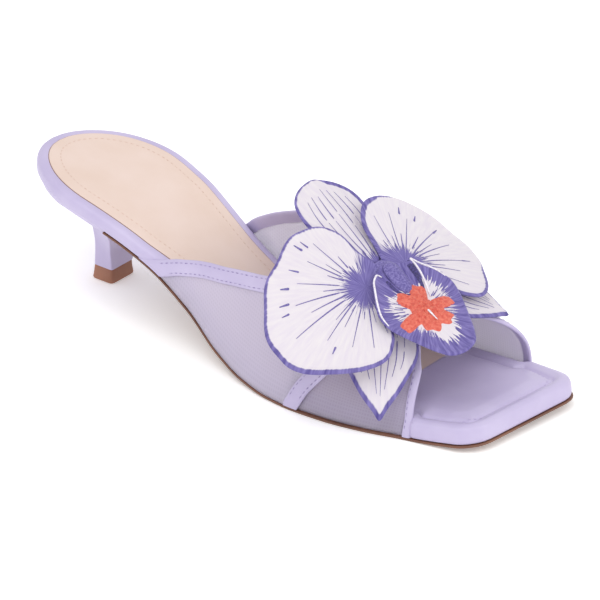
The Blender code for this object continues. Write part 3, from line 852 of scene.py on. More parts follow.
def walls(bm, rings):
    """Rings of lateral and medial points joined into a closed tube with flat ends."""
    loops = [[pair[0] for pair in ring] + [pair[1] for pair in ring[::-1]] for ring in rings]
    around = len(loops[0])
    high = len(rings) - 1
    grid(bm, around, high, lambda u, v: loops[round(v * high)][round(u * around) % around])
    for ring in (rings[0], rings[-1]):
        count = len(ring) - 1
        grid(bm, count, 1, lambda u, v: ring[round(u * count)][round(v)])


def upper_base(s):
    """Height of the upper's lower edge at a station."""
    return bottom(s) + UPPER_BASE / math.cos(slope_at(s))


def from_edge(around):
    """The share of the way round from the nearer edge of the upper."""
    return min(around, 1 - around)


def upper_inside(s, around):
    """A point of the upper's inner face: around 0 is its lateral edge, 1 its medial edge."""
    y_lateral = -(lateral(s) - UPPER_INSET)
    y_medial = medial(s) - UPPER_INSET
    side = math.cos(math.pi * around)
    over = max(math.sin(math.pi * around), 0.0)
    reach = math.copysign(abs(side) ** (2 / SECTION_POWER), side)
    y = (y_lateral + y_medial) / 2 - (y_medial - y_lateral) / 2 * reach + CREST_SHIFT * over
    z = upper_base(s) + (crest(s) - upper_base(s)) * over ** (2 / SECTION_POWER)
    hem = 1 - smoothstep(from_edge(around), 0.0, HEM_SHARE)
    return Vector((s, y + math.copysign(HEM_FLARE * hem, around - 0.5), z - UPPER_HEM * hem))


def upper_normal(s, around):
    """The way out of the upper, turned level at its two edges."""
    step, turn = 0.5, 0.003
    t = min(max(around, END_SHARE), 1 - END_SHARE)
    along = upper_inside(s + step, t) - upper_inside(s - step, t)
    across = upper_inside(s, t + turn) - upper_inside(s, t - turn)
    normal = along.cross(across).normalized()
    edge = smoothstep(from_edge(around), 0.0, LEVEL_SHARE)
    return Vector((normal.x * edge, normal.y, normal.z * edge)).normalized()


def upper_point(s, around, offset):
    """A point set out from the upper's inner face, and at its two edges not beyond the outsole."""
    point = upper_inside(s, around) + upper_normal(s, around) * offset
    if from_edge(around) < HEM_SHARE:
        point.y = min(max(point.y, GAP - lateral(s)), medial(s) - GAP)
    return point


class Strap:
    """One strap of the upper: its two edges as functions of the way round, and the layer it lies in."""

    def __init__(self, rows, level):
        self.back = hermite(rows, "around", "back")
        self.front = hermite(rows, "around", "front")
        self.level = level

    def panel(self, bm):
        """The mesh between the strap's edges."""

        def station(u, v):
            return self.back(u) + PANEL_INSET + (self.front(u) - self.back(u) - 2 * PANEL_INSET) * v

        def shape(u, v):
            return upper_point(station(u, v), u, self.level + PANEL_LIFT)

        def cloth(u, v):
            return (math.pi * u * GIRTH_RADIUS, station(u, v), 0.0)

        grid(bm, columns=120, rows=40, shape=shape, cloth=cloth)


class Band:
    """A leather band folded over part of a strap's edge and sewn down."""

    # Its section: shares of its width from the strap's edge, and heights over the strap's layer.
    RING = [
        (1.0, 0.6), (0.985, 1.2), (0.94, 1.5), (0.8, BAND_TOP), (0.5, 1.72), (0.2, BAND_TOP), (0.07, 1.45),
        (0.0, 1.1), (-0.03, 0.75), (0.0, 0.35), (0.07, 0.1), (0.3, 0.02), (0.7, 0.02), (1.0, 0.1),
    ]
    STEPS = 130
    UNSEWN_STEPS = 8
    NEAR_STEPS, NEAR_STEP = 24, 1 / 120
    FARTHEST = 5
    HALVINGS = 16

    def __init__(self, strap, edge, direction, width, start, end):
        self.strap = strap
        self.edge = edge
        self.arounds = [start + (end - start) * i / self.STEPS for i in range(self.STEPS + 1)]
        self.reach = [direction * self.span(t, direction, width) for t in self.arounds]

    def span(self, around, direction, width):
        """How far along the last the band's width takes, measured over the surface."""
        near_steps = range(-self.NEAR_STEPS, self.NEAR_STEPS + 1)
        ways = [min(max(around + k * self.NEAR_STEP, 0.0), 1.0) for k in near_steps]
        line = [upper_inside(self.edge(t), t) for t in ways]
        near, far = 0.0, self.FARTHEST * width
        for _ in range(self.HALVINGS):
            middle = (near + far) / 2
            point = upper_inside(self.edge(around) + direction * middle, around)
            if min(self.gap(point, a, b) for a, b in zip(line, line[1:])) < width:
                near = middle
            else:
                far = middle
        return near

    @staticmethod
    def gap(point, start, end):
        """Distance from a point to a short stretch of the edge."""
        along = end - start
        share = min(max((point - start).dot(along) / max(along.length_squared, 1e-9), 0.0), 1.0)
        return (start + along * share - point).length

    def at(self, index, share):
        """Station and way round at a step along the band and a share of its width."""
        around = self.arounds[index]
        return self.edge(around) + self.reach[index] * share, around

    def body(self, bm):
        """The folded leather."""
        count = len(self.RING)

        def shape(u, v):
            share, offset = self.RING[round(v * count) % count]
            s, around = self.at(round(u * self.STEPS), share)
            return upper_point(s, around, self.strap.level + offset)

        grid(bm, self.STEPS, count, shape)

    def stitches(self, bm, share, sizes):
        """A row of stitches along the band."""
        path = []
        for index in range(self.UNSEWN_STEPS, self.STEPS - self.UNSEWN_STEPS + 1):
            s, around = self.at(index, share)
            path.append((upper_point(s, around, self.strap.level + BAND_TOP), upper_normal(s, around)))
        stitch_row(bm, path, sizes)


def flower_point(forward, out, lift):
    """A point of the orchid: forward to the toe and out to the medial side, on a drooping saddle."""
    a = forward * math.cos(FLOWER_TURN) + out * math.sin(FLOWER_TURN)
    b = out * math.cos(FLOWER_TURN) - forward * math.sin(FLOWER_TURN)
    mean = (FLOWER_BACK_SLOPE + FLOWER_FRONT_SLOPE) / 2
    bend = (FLOWER_BACK_SLOPE - FLOWER_FRONT_SLOPE) / 2 * (math.hypot(a, FLOWER_BEND) - FLOWER_BEND)
    x = FLOWER_CENTRE.x + a * math.cos(mean)
    z = FLOWER_CENTRE.z - mean * a + bend + FLOWER_ROLL * b - FLOWER_DROOP * b * b
    return Vector((x, FLOWER_CENTRE.y + b, z + lift))


def compass(degrees):
    """The level direction at an angle from the toe's, towards the medial side."""
    return Vector((math.cos(math.radians(degrees)), math.sin(math.radians(degrees)), 0.0))


class Bloom:
    """A sheet of the orchid inside an outline, with its own axis through the flower's middle.

    Its threads fan out from a point on the axis; hem gives the distance by which its border is drawn.
    """

    RINGS = 24
    RING_CROWDING = 1.7
    FAR_BONUS = 0.002

    def __init__(self, outline, middle, degrees, lift, fan, hem):
        self.outline = outline
        self.middle = middle
        self.axis = compass(degrees)
        self.side = Vector((-self.axis.y, self.axis.x, 0.0))
        self.lift = lift
        self.fan = fan
        self.hem = hem

    def flat(self, along, across):
        """A point of the flower's plane from lengths along and across the sheet's own axis."""
        return self.axis * along + self.side * across

    def ray(self, degrees, start, stop):
        """A path away from the middle of the fan, between two distances, as a function of a share."""
        turn = math.radians(degrees)

        def path(u):
            reach = start + (stop - start) * u
            return self.flat(self.fan[0] + reach * math.cos(turn), self.fan[1] + reach * math.sin(turn))

        return path

    def run(self, rows):
        """A smooth line through points along and across the sheet, in the flower's plane."""
        line = spline([Vector((row.along, row.across, 0.0)) for row in rows], per_span=8, closed=False)
        return [self.flat(p.x, p.y) for p in line]

    def on(self, q, more=0.0):
        """The point of the sheet over a point of the flower's plane."""
        return flower_point(q.x, q.y, self.lift(q.x, q.y) + more)

    def reach(self, degrees):
        """Distance from the middle of the fan to the outline's farther side, in a direction from the axis."""
        want = math.radians(degrees)
        rays = [p - self.flat(*self.fan) for p in self.outline]
        ways = [(math.atan2(p.dot(self.side), p.dot(self.axis)), p.length) for p in rays]
        return min(ways, key=lambda way: abs(way[0] - want) - self.FAR_BONUS * way[1])[1]

    def sheet(self, bm, bead, top):
        """The cloth, with a stitched bead along its edge."""
        count = len(self.outline)

        def spot(u, v):
            i = round(u * count) % count
            share = 1 - (1 - v) ** self.RING_CROWDING
            ray = self.outline[i] - self.middle
            rim_way = self.outline[(i + 1) % count] - self.outline[i - 1]
            slip = abs(ray.x * rim_way.y - ray.y * rim_way.x) / (ray.length * rim_way.length + 1e-9)
            return self.middle + ray * share, (1 - share) * ray.length * slip

        def shape(u, v):
            q, edge = spot(u, v)
            beaded = bead * bell(edge, BEAD_INSET, BEAD_WIDTH)
            return self.on(q, top + beaded - EDGE_DROP * bell(edge, 0.0, EDGE_DROP))

        def cloth(u, v):
            q, edge = spot(u, v)
            along, across = q.dot(self.axis), q.dot(self.side)
            return (along - self.fan[0], across - self.fan[1], self.hem(along, across, edge))

        grid(bm, count, self.RINGS, shape, cloth)

    def vein(self, bm, path, width, raised, steps=10):
        """A thin line of thread along a path in the flower's plane, narrower at its ends."""

        def shape(u, v):
            i = round(u * steps)
            before, after = path(max(i - 1, 0) / steps), path(min(i + 1, steps) / steps)
            way = (after - before).normalized()
            wide = width * min(1.0, VEIN_SWELL * u + VEIN_START) * (VEIN_WIDEST - VEIN_TAPER * u)
            side = Vector((-way.y, way.x, 0.0)) * (v - 0.5) * wide
            return self.on(path(u) + side, raised + VEIN_ROUND * (1 - abs(2 * v - 1)))

        grid(bm, steps, 2, shape)


def mirrored(rows, degrees):
    """A half outline made whole and turned to its place in the flower."""
    whole = [(r.along, r.across) for r in rows] + [(r.along, -r.across) for r in rows[-2:0:-1]]
    c, s = math.cos(math.radians(degrees)), math.sin(math.radians(degrees))
    return [Vector((a * c - w * s, a * s + w * c, 0.0)) for a, w in whole]


def sepal(rows, degrees, droop, thick):
    """A pointed sepal under the petals.

    droop is how far its tip hangs below the flower's saddle, thick how much wider its border is on one side.
    """
    axis = compass(degrees)
    tip = rows[-1].along

    def lift(forward, out):
        q = Vector((forward, out, 0.0))
        along = max(q.dot(axis), 0.0) / tip
        across = (q - axis * q.dot(axis)).length
        return -droop * along**3 + SEPAL_RIB * bell(across, 0.0, SEPAL_RIB_WIDTH) * along

    def hem(along, across, edge):
        return edge - thick * smoothstep(-across, *SEPAL_WIDE_FROM)

    outline = spline(mirrored(rows, degrees), per_span=10, closed=True)
    return Bloom(outline, axis * tip * 0.5, degrees, lift, (0.0, 0.0), hem)


def petal(rows, side, curl, scallop, bare, fan):
    """A round petal over the sepals: its back half curls up, its rim is scalloped.

    side is -1 or 1; bare is how far the border is pushed off the petal's outer rim.
    """
    outmost = max(row.across for row in rows)
    middle = Vector((-PETAL_MIDDLE_BACK, side * outmost * PETAL_MIDDLE, 0.0))

    def lift(forward, out):
        rise = PETAL_RISE * (math.hypot(forward, out) / PETAL_RISE_REACH) ** 2
        return PETAL_LAYER + rise + curl * smoothstep(-forward, *PETAL_CURL_FROM)

    def hem(along, across, edge):
        turn = math.degrees(math.atan2(across, along - middle.length))
        bared = bare * smoothstep(turn, *BARE_FROM) * (1 - smoothstep(turn, *BARE_TO))
        rooted = PETAL_ROOT_FADE * math.hypot(along, across)
        return min(edge + bared - bare * smoothstep(turn, *WIDE_FROM), rooted)

    outline = []
    for p in spline([Vector((r.along, side * r.across, 0.0)) for r in rows], per_span=12, closed=True):
        ray = p - middle
        scalloped = smoothstep(p.length, *SCALLOP_OUT_FROM) * smoothstep(-p.x, *SCALLOP_BACK_FROM)
        wave = math.sin(SCALLOPS * math.atan2(ray.y, ray.x)) * scalloped
        outline.append(middle + ray * (1 + scallop * wave / ray.length))
    return Bloom(outline, middle, side * PETAL_TURN, lift, fan, hem)


def lip():
    """The trowel-shaped lip, with two upright side lobes and a fold beside its throat."""
    degrees = math.degrees(LIP_TURN)

    def lift(forward, out):
        along = forward * math.cos(LIP_TURN) + out * math.sin(LIP_TURN)
        across = out * math.cos(LIP_TURN) - forward * math.sin(LIP_TURN)
        share = min(max(along / LIP_OUTLINE[-1].along, 0.0), 1.0)
        lobe = bell(along, LIP_LOBE_AT, LIP_LOBE_LENGTH) * (abs(across) / LIP_LOBE_REACH) ** 3
        crook = FOLD_ACROSS - FOLD_BEND * along * along
        fold = FOLD * bell(across, crook, FOLD_WIDTH) * bell(along, FOLD_AT, FOLD_LENGTH)
        return LIP_LAYER + LIP_HOLD * share**LIP_HOLD_POWER + LIP_LOBE * lobe + fold

    def hem(along, across, edge):
        return min(edge - LIP_TIP_BORDER * smoothstep(along, *LIP_TIP_FROM), max(along - LIP_THROAT, 0.0))

    outline = spline(mirrored(LIP_OUTLINE, degrees), per_span=8, closed=True)
    middle = Vector((LIP_MIDDLE, LIP_MIDDLE * math.sin(LIP_TURN), 0.0))
    return Bloom(outline, middle, degrees, lift, CALLUS_MIDDLE.xy, hem)


def cloth_top(sizes):
    """Height of the orchid's cloth over its layer."""
    return sizes.petal_sheet / MM + CLOTH_LIFT


def cloth_piece(name, bloom, cloth, sizes):
    """The embroidered sheet of one part of the orchid."""
    bm = new_mesh()
    bloom.sheet(bm, sizes.petal_bead / MM, cloth_top(sizes))
    piece(name + "_cloth", bm, cloth, "embroidered_cloth", name, closed=False, sheet=sizes.petal_sheet)


def silk_piece(name, bm, silk, replaced, closed=False, sheet=0.0):
    """Threads laid on the orchid's cloth."""
    piece(name, bm, silk, "embroidered_cloth", replaced, closed=closed, sheet=sheet)


class MULE_OT_sole(bpy.types.Operator):
    """Builds the brown outsole and the heel's wearing tip"""

    bl_idname = "mule.sole"
    bl_label = "Sole and tip"

    def execute(self, context):
        colours = context.scene.mule_colours
        bm = new_mesh()
        stations = sole_stations(OUTSOLE_START, TOE_END)
        layer(bm, stations, OUTSOLE_EDGE, columns=16, border=lambda s, column: 0.0, toe=True)
        piece("outsole_leather", bm, sole_leather(colours), "brown_sole_leather", "outsole", sharp=50.0)

        foot = HEEL_ROWS[0]
        middle, half = (foot.back + foot.front) / 2, (foot.front - foot.back) / 2
        rings = []
        for height, spread in TIP_RINGS:
            ring = []
            for k in range(HEEL_AROUND + 1):
                reach, closing = squared(k, HEEL_AROUND, TIP_POWER)
                x, y = middle - (half + spread) * reach, (foot.half_width + spread) * closing
                ring.append((Vector((x, -y, height)), Vector((x, y, height))))
            rings.append(ring)
        bm = new_mesh()
        walls(bm, rings)
        piece("heel_tip", bm, tip_rubber(colours), "brown_sole_leather", "heel_top_piece")
        return {"FINISHED"}


class MULE_OT_footbed(bpy.types.Operator):
    """Builds the wrapped footbed with its stitched toe pad"""

    bl_idname = "mule.footbed"
    bl_label = "Footbed"

    def execute(self, context):
        sizes, colours = context.scene.mule_sizes, context.scene.mule_colours
        line, groove = sizes.toe_line / MM, sizes.toe_groove / MM

        def relief(s, column, row):
            step = smoothstep(s, SOCK_END, SOCK_END + PAD_STEP_LENGTH)
            slope = smoothstep(s, SOCK_END, SOCK_END + PAD_SLOPE_LENGTH)
            pad = TOE_PAD * row.pad * (PAD_STEP_SHARE * step + (1 - PAD_STEP_SHARE) * slope)
            if row.pad < 1 or s < SOCK_END:
                return pad
            inside = pad_inset(s, column, row)
            pillow = PILLOW * smoothstep(inside, line + PILLOW_FROM, line + PILLOW_TO)
            roll = BORDER_ROLL * bell(inside, BORDER_MIDDLE, BORDER_WIDTH)
            return pad + pillow + roll - groove * bell(inside, line, GROOVE_WIDTH)

        bm = new_mesh()
        stations = sole_stations(0.0, TOE_END, SOCK_END)
        layer(bm, stations, FOOTBED_EDGE, columns=80, border=rim, heel=True, toe=True, relief=relief)
        footbed = piece("footbed_wrap", bm, lilac_nappa(colours), "lilac_leather", "footbed")

        row = EdgeRow(line, SEAM_HEIGHT, 1.0)
        stations = even(SEAM_START, TOE_END, (TOE_END - SEAM_START) / SEAM_SIDE_STEPS)
        spots = [(s, -1.0) for s in stations]
        spots += [(TOE_END, 2 * i / SEAM_FRONT_STEPS - 1) for i in range(1, SEAM_FRONT_STEPS)]
        spots += [(s, 1.0) for s in stations[::-1]]
        seam = [(layer_point(s, c, row, rim, False, True) + UP * relief(s, c, row), UP) for s, c in spots]
        bm = new_mesh()
        stitch_row(bm, seam, sizes)
        piece("toe_pad_stitches", bm, thread("toned_thread", colours), "lilac_leather", "footbed")
        return {"FINISHED"}


class MULE_OT_sock(bpy.types.Operator):
    """Builds the beige sock with its row of stitches"""

    bl_idname = "mule.sock"
    bl_label = "Sock"

    def execute(self, context):
        sizes, colours = context.scene.mule_sizes, context.scene.mule_colours
        bm = new_mesh()
        layer(bm, sole_stations(0.0, SOCK_END - GAP), SOCK_EDGE, columns=24, border=rim, heel=True)
        piece("sock_leather", bm, sock_leather(colours), "beige_sock_leather", "insole")

        bm = new_mesh()
        sewn = self.round_heel(SOCK_INSET + sizes.sock_line / MM, SOCK_STITCH_HEIGHT)
        stitch_row(bm, [(point, UP) for point in sewn], sizes)
        piece("sock_stitches", bm, thread("tan_thread", colours), "beige_sock_leather", "insole")
        # A thin dark brown cord along the sock's edge paints the shadow in the gap between the sock and the
        # footbed's rim.
        bm = new_mesh()
        cord(bm, self.round_heel(SOCK_INSET - GAP_SHADOW_OUT, GAP_SHADOW_HEIGHT), GAP_SHADOW_RADIUS)
        piece("sock_edge", bm, thread("sock_edge_dye", colours), "beige_sock_leather", "insole")
        return {"FINISHED"}

    def round_heel(self, inset, height):
        """A line round the sock's heel end at an inset and a height."""
        stations = sole_stations(0.0, SOCK_TRIM_END)
        spots = [(s, -1.0) for s in stations[::-1]] + [(s, 1.0) for s in stations[1:]]
        return [layer_point(s, c, EdgeRow(inset, height), rim, True, False) for s, c in spots]


class MULE_OT_heel(bpy.types.Operator):
    """Builds the leather-covered kitten heel"""

    bl_idname = "mule.heel"
    bl_label = "Heel"

    def execute(self, context):
        columns = [hermite(HEEL_ROWS, "rise", column) for column in HeelRow._fields[1:]]
        low = TIP_HEIGHT + GAP
        rings = []
        for i in range(HEEL_STEPS + 1):
            rise = i / HEEL_STEPS
            back, front, half_width, corner, roundness, seat = (value(rise) for value in columns)
            ring = []
            for k in range(HEEL_AROUND + 1):
                behind = 2 * k < HEEL_AROUND
                reach, closing = squared(k, HEEL_AROUND, 2 / roundness if behind else FRONT_POWER)
                x = (back + front) / 2 - (front - back) / 2 * reach
                lean = ((1 - reach) / 2) ** 2
                z = low + rise * (above_sole(x, 0.0, OUTSOLE).z - low)
                pair = []
                for sign, width in ((-1, lateral(x)), (1, medial(x))):
                    rim_y = end_rounding(max(x - back, 0.0), width - back, True, False)
                    rim_y *= 1.0 if behind else closing
                    side = (1 - seat) * half_width * closing + seat * rim_y
                    y = side * (1 - lean) + corner * closing * lean
                    pair.append(Vector((x, sign * y, z)))
                ring.append(pair)
            rings.append(ring)
        bm = new_mesh()
        walls(bm, rings)
        piece("heel_cover", bm, lilac_nappa(context.scene.mule_colours), "lilac_leather", "heel")
        return {"FINISHED"}


class MULE_OT_straps(bpy.types.Operator):
    """Builds the two sheer straps, their leather bands and the stitches in them"""

    bl_idname = "mule.straps"
    bl_label = "Straps"

    def execute(self, context):
        sizes, colours = context.scene.mule_sizes, context.scene.mule_colours
        outer, inner = Strap(OUTER_STRAP, LAYER), Strap(INNER_STRAP, 0.0)
        meshes = (
            ("outer", outer, colours.mesh, colours.mesh_gap, OUTER_OPACITY, OUTER_FLAT),
            ("inner", inner, colours.mesh_under, colours.mesh_under_gap, INNER_OPACITY, INNER_FLAT),
        )
        for name, strap, threads, gaps, opacity, flat in meshes:
            bm = new_mesh()
            strap.panel(bm)
            area = sum(face.calc_area() for face in bm.faces)
            nylon = strap_mesh(name + "_nylon_mesh", threads, gaps, opacity)
            as_cloth = {"closed": False, "sheet": sizes.mesh_sheet}
            mesh = piece(name + "_strap_mesh", bm, nylon, "lilac_mesh", "upper", **as_cloth)

        # Each band with the rows of its stitches, as shares of its width.
        bands = {
            "topline_band_lateral": (Band(outer, outer.back, 1, BAND_WIDTH, 0.0, 0.5), (0.17, 0.8)),
            "cross_band": (Band(outer, outer.front, -1, BAND_WIDTH, 0.0, 0.5), (0.17, 0.83)),
            "cross_band_medial": (Band(outer, outer.back, 1, BAND_WIDTH, 0.5, 1.0), (0.17, 0.8)),
            "topline_band_medial": (Band(inner, inner.back, 1, FAR_BAND_WIDTH, 0.5, 1.0), (0.17, 0.8)),
            "toe_band_lateral": (Band(inner, inner.front, -1, TOE_BAND_WIDTH, 0.0, 0.45), (0.75,)),
            "toe_band_medial": (Band(outer, outer.front, -1, TOE_BAND_WIDTH, 0.5, 1.0), (0.75,)),
        }
        seams = new_mesh()
        for name, (band, rows) in bands.items():
            bm = new_mesh()
            band.body(bm)
            piece(name, bm, lilac_nappa(colours), "lilac_leather", "upper", sharp=60.0)
            for share in rows:
                band.stitches(seams, share, sizes)
        piece("band_stitches", seams, thread("lilac_thread", colours), "lilac_leather", "upper")
        return {"FINISHED"}


class MULE_OT_sepals(bpy.types.Operator):
    """Builds the three pointed sepals of the orchid"""

    bl_idname = "mule.sepals"
    bl_label = "Sepals"

    # Outline, turn in the flower, droop of the tip and extra border on one side.
    SEPALS = {
        "sepal_back": (BACK_SEPAL, 174.0, 0.0, 1.1),
        "sepal_front_lateral": (FRONT_SEPAL, -45.0, 14.0, 0.0),
        "sepal_front_medial": (FRONT_SEPAL, 46.0, 5.0, 0.0),
    }
    # Veins across the half width, drawn together towards the tip, each broken once along the length.
    VEINS = (-0.74, -0.5, -0.25, 0.0, 0.25, 0.5, 0.74)
    VEIN_DRAW = 0.25
    VEIN_FROM, VEIN_TO = 0.2, 0.92
    VEIN_SHORTER = 0.14
    VEIN_BREAK = 0.025
    # Ranges of chance for where the break lies, how much the end falls short and the vein's width.
    BREAK_AT, END_LOSS, WIDTH = (0.42, 0.66), (0.0, 0.06), (0.35, 0.55)

    def execute(self, context):
        sizes, colours = context.scene.mule_sizes, context.scene.mule_colours
        cloth = embroidery("sepal_embroidery", colours, heart=5.0, feather=8.0, border=0.75, soft=0.3)
        chance = random.Random(3)
        for name, (rows, degrees, droop, thick) in self.SEPALS.items():
            bloom = sepal(rows, degrees, droop, thick)
            cloth_piece(name, bloom, cloth, sizes)
            half = hermite(rows, "along", "across")
            veins = new_mesh()
            for share in self.VEINS:
                gap = chance.uniform(*self.BREAK_AT)
                end = self.VEIN_TO - self.VEIN_SHORTER * abs(share) - chance.uniform(*self.END_LOSS)
                for low, high in ((self.VEIN_FROM, gap), (gap + self.VEIN_BREAK, end)):

                    def path(u):
                        way = low + (high - low) * u
                        along = rows[-1].along * way
                        return bloom.flat(along, share * half(along) * (1 - self.VEIN_DRAW * way))

                    bloom.vein(veins, path, chance.uniform(*self.WIDTH), cloth_top(sizes) + VEIN_LIFT)
            silk_piece(name + "_veins", veins, thread("violet_silk", colours), name)
        return {"FINISHED"}


class MULE_OT_petals(bpy.types.Operator):
    """Builds the two round petals of the orchid with their veins"""

    bl_idname = "mule.petals"
    bl_label = "Petals"

    VEINS = 19
    VEIN_SPREAD = 172.0
    VEIN_ROOT = 8.0
    SHORTEST_VEIN = 3.0
    # Ranges of chance: long and short veins as shares of the petal's reach, then widths and lengths.
    VEIN_SHIFT = (-0.3, 0.3)
    LONG_VEIN, SHORT_VEIN = (0.66, 0.8), (0.4, 0.56)
    ROOT_SHIFT, VEIN_WIDTH = (0.0, 3.0), (0.4, 0.6)
    DASH_AT, DASH_LENGTH, DASH_WIDTH = (0.72, 0.82), (2.6, 4.2), (0.7, 1.0)

    def execute(self, context):
        sizes, colours = context.scene.mule_sizes, context.scene.mule_colours
        cloth = embroidery("petal_embroidery", colours, heart=5.2, feather=7.0, border=0.85, soft=0.35)
        lateral_petal = petal(LATERAL_PETAL, -1, curl=0.0, scallop=0.5, bare=0.0, fan=(12.3, 4.0))
        medial_petal = petal(MEDIAL_PETAL, 1, curl=3.8, scallop=0.1, bare=0.8, fan=(9.0, -3.5))
        for seed, name, bloom, dashes in (
            (5, "petal_lateral", lateral_petal, (-69, -64, -46, -33, -23, -17, 26)),
            (8, "petal_medial", medial_petal, (-20, 18, 34, 47)),
        ):
            chance = random.Random(seed)
            cloth_piece(name, bloom, cloth, sizes)
            spans = []
            for k in range(self.VEINS):
                share = (k + chance.uniform(*self.VEIN_SHIFT)) / (self.VEINS - 1)
                way = self.VEIN_SPREAD * (share - 0.5)
                edge = bloom.reach(way)
                far = chance.uniform(*(self.LONG_VEIN if k % 2 else self.SHORT_VEIN))
                start = self.VEIN_ROOT + chance.uniform(*self.ROOT_SHIFT)
                stop = max(edge * far, start + self.SHORTEST_VEIN)
                spans.append((way, start, stop, chance.uniform(*self.VEIN_WIDTH)))
            for way in dashes:
                dash = bloom.reach(way) * chance.uniform(*self.DASH_AT)
                stop = dash + chance.uniform(*self.DASH_LENGTH)
                spans.append((way, dash, stop, chance.uniform(*self.DASH_WIDTH)))
            veins = new_mesh()
            for way, start, stop, width in spans:
                bloom.vein(veins, bloom.ray(way, start, stop), width, cloth_top(sizes) + VEIN_LIFT)
            silk_piece(name + "_veins", veins, thread("violet_silk", colours), name)
        return {"FINISHED"}


class MULE_OT_lip(bpy.types.Operator):
    """Builds the lip of the orchid with its callus, its cords and the column over its root"""

    bl_idname = "mule.lip"
    bl_label = "Lip and column"

    # Degrees round the callus at which short violet threads lie between the pale ones.
    STROKES = (*range(36, 130, 7), *range(210, 290, 7))
    STROKE_WIDTH = 0.55
    # Ranges of chance for a stroke's start, length and turn.
    STROKE_START, STROKE_LENGTH, STROKE_SHIFT = (6.5, 8.5), (2.5, 5.0), (-2.5, 2.5)

    def execute(self, context):
        sizes, colours = context.scene.mule_sizes, context.scene.mule_colours
        bloom, top = lip(), cloth_top(sizes)
        cloth = embroidery("lip_embroidery", colours, heart=-2.0, feather=0.0, border=2.9, soft=6.4)
        cloth_piece("lip", bloom, cloth, sizes)
        self.strokes(bloom, top, colours)
        self.callus(bloom, top, colours)
        self.cords(bloom, top, sizes, colours)
        self.column(colours)
        return {"FINISHED"}

    def strokes(self, bloom, top, colours):
        """Short violet threads between the pale ones round the callus."""
        chance = random.Random(11)
        veins = new_mesh()
        for way in self.STROKES:
            start = chance.uniform(*self.STROKE_START)
            stop = start + chance.uniform(*self.STROKE_LENGTH)
            turn = way + chance.uniform(*self.STROKE_SHIFT)
            bloom.vein(veins, bloom.ray(turn, start, stop), self.STROKE_WIDTH, top + VEIN_LIFT)
        silk_piece("lip_strokes", veins, thread("violet_silk", colours), "lip")

    def callus(self, bloom, top, colours):
        """The raised coral star, padded under its stitches, with a pale ridge on it."""

        def reach(turn):
            grown = CALLUS_BODY
            for lobe in CALLUS_LOBES:
                off = (math.degrees(turn) - lobe.degrees + 180) % 360 - 180
                grown += (lobe.reach - CALLUS_BODY) * bell(off * abs(off), 0.0, CALLUS_LOBE_SPREAD**2)
            ragged = noise.noise(Vector((math.cos(turn), math.sin(turn), 3.0)) * CALLUS_RAGS)
            return grown + CALLUS_RAGGED * ragged

        def shape(u, v):
            turn = 2 * math.pi * u
            r = reach(turn) * v
            q = bloom.flat(CALLUS_MIDDLE.x + r * math.cos(turn), CALLUS_MIDDLE.y + r * math.sin(turn))
            knots = sum(k.height * noise.noise(Vector((q.x, q.y, k.seed)) * k.fineness) for k in CALLUS_KNOTS)
            return bloom.on(q, top + (CALLUS_HEIGHT + knots) * (1 - v**3) - CALLUS_SINK)

        bm = new_mesh()
        grid(bm, columns=160, rows=20, shape=shape)
        silk_piece("lip_callus", bm, thread("coral_silk", colours), "lip", sheet=CALLUS_SHEET * MM)

        def line(u):
            return bloom.flat(RIDGE_START + RIDGE_LENGTH * u, CALLUS_MIDDLE.y)

        ridge = new_mesh()
        bloom.vein(ridge, line, RIDGE_WIDTH, top + RIDGE_LIFT)
        silk_piece("lip_ridge", ridge, thread("white_silk", colours), "lip")

    def cords(self, bloom, top, sizes, colours):
        """White cords along a side lobe's edge and the other's fold; dark threads paint the shade by the fold
        and the column.
        """
        radius = sizes.cord_width / MM / 2
        for name, rows in (("lip_cord_lateral", LATERAL_LIP_CORD), ("lip_cord_medial", MEDIAL_LIP_CORD)):
            bm = new_mesh()
            cord(bm, [bloom.on(q, top + LIP_CORD_LIFT) for q in bloom.run(rows)], radius)
            silk_piece(name, bm, thread("white_silk", colours), "lip", closed=True)
        # Painted shade: near-black threads beside the medial fold and round the column's tip stand for the
        # shadow these cast.
        veins = new_mesh()
        for rows, width in ((FOLD_SHADOW, FOLD_SHADOW_WIDTH), (COLUMN_SHADOW, COLUMN_SHADOW_WIDTH)):
            line = bloom.run(rows)
            bloom.vein(veins, lambda u: line[round(u * (len(line) - 1))], width, top + SHADOW_LIFT, steps=40)
        silk_piece("lip_crease", veins, thread("deep_violet_silk", colours), "lip")

    def column(self, colours):
        """The rounded rod over the root of the lip, and the low knot of thread round its foot."""

        def shape(u, v):
            turn, share = 2 * math.pi * v, 0.5 - 0.5 * math.cos(math.pi * u)
            girth = math.sin(math.pi * u) ** COLUMN_BLUNTNESS
            forward = COLUMN_START + COLUMN_LENGTH * share
            half = COLUMN_WIDTH / 2 * (1 - COLUMN_TAPER * share)
            across = half * girth * math.cos(turn) + forward * math.sin(LIP_TURN)
            lift = COLUMN_LIFT + COLUMN_HEIGHT / 2 * (1 + girth * math.sin(turn))
            return flower_point(forward, across, lift)

        def knot(u, v):
            turn, reach = 2 * math.pi * u, KNOT_RADIUS * v
            lift = KNOT_LIFT + KNOT_RISE * (1 - v * v)
            return flower_point(KNOT_FORWARD + reach * math.cos(turn), reach * math.sin(turn), lift)

        bm = new_mesh()
        grid(bm, columns=24, rows=20, shape=shape)
        grid(bm, columns=32, rows=6, shape=knot)
        silk_piece("column_silk", bm, thread("violet_silk", colours), "column", closed=True)


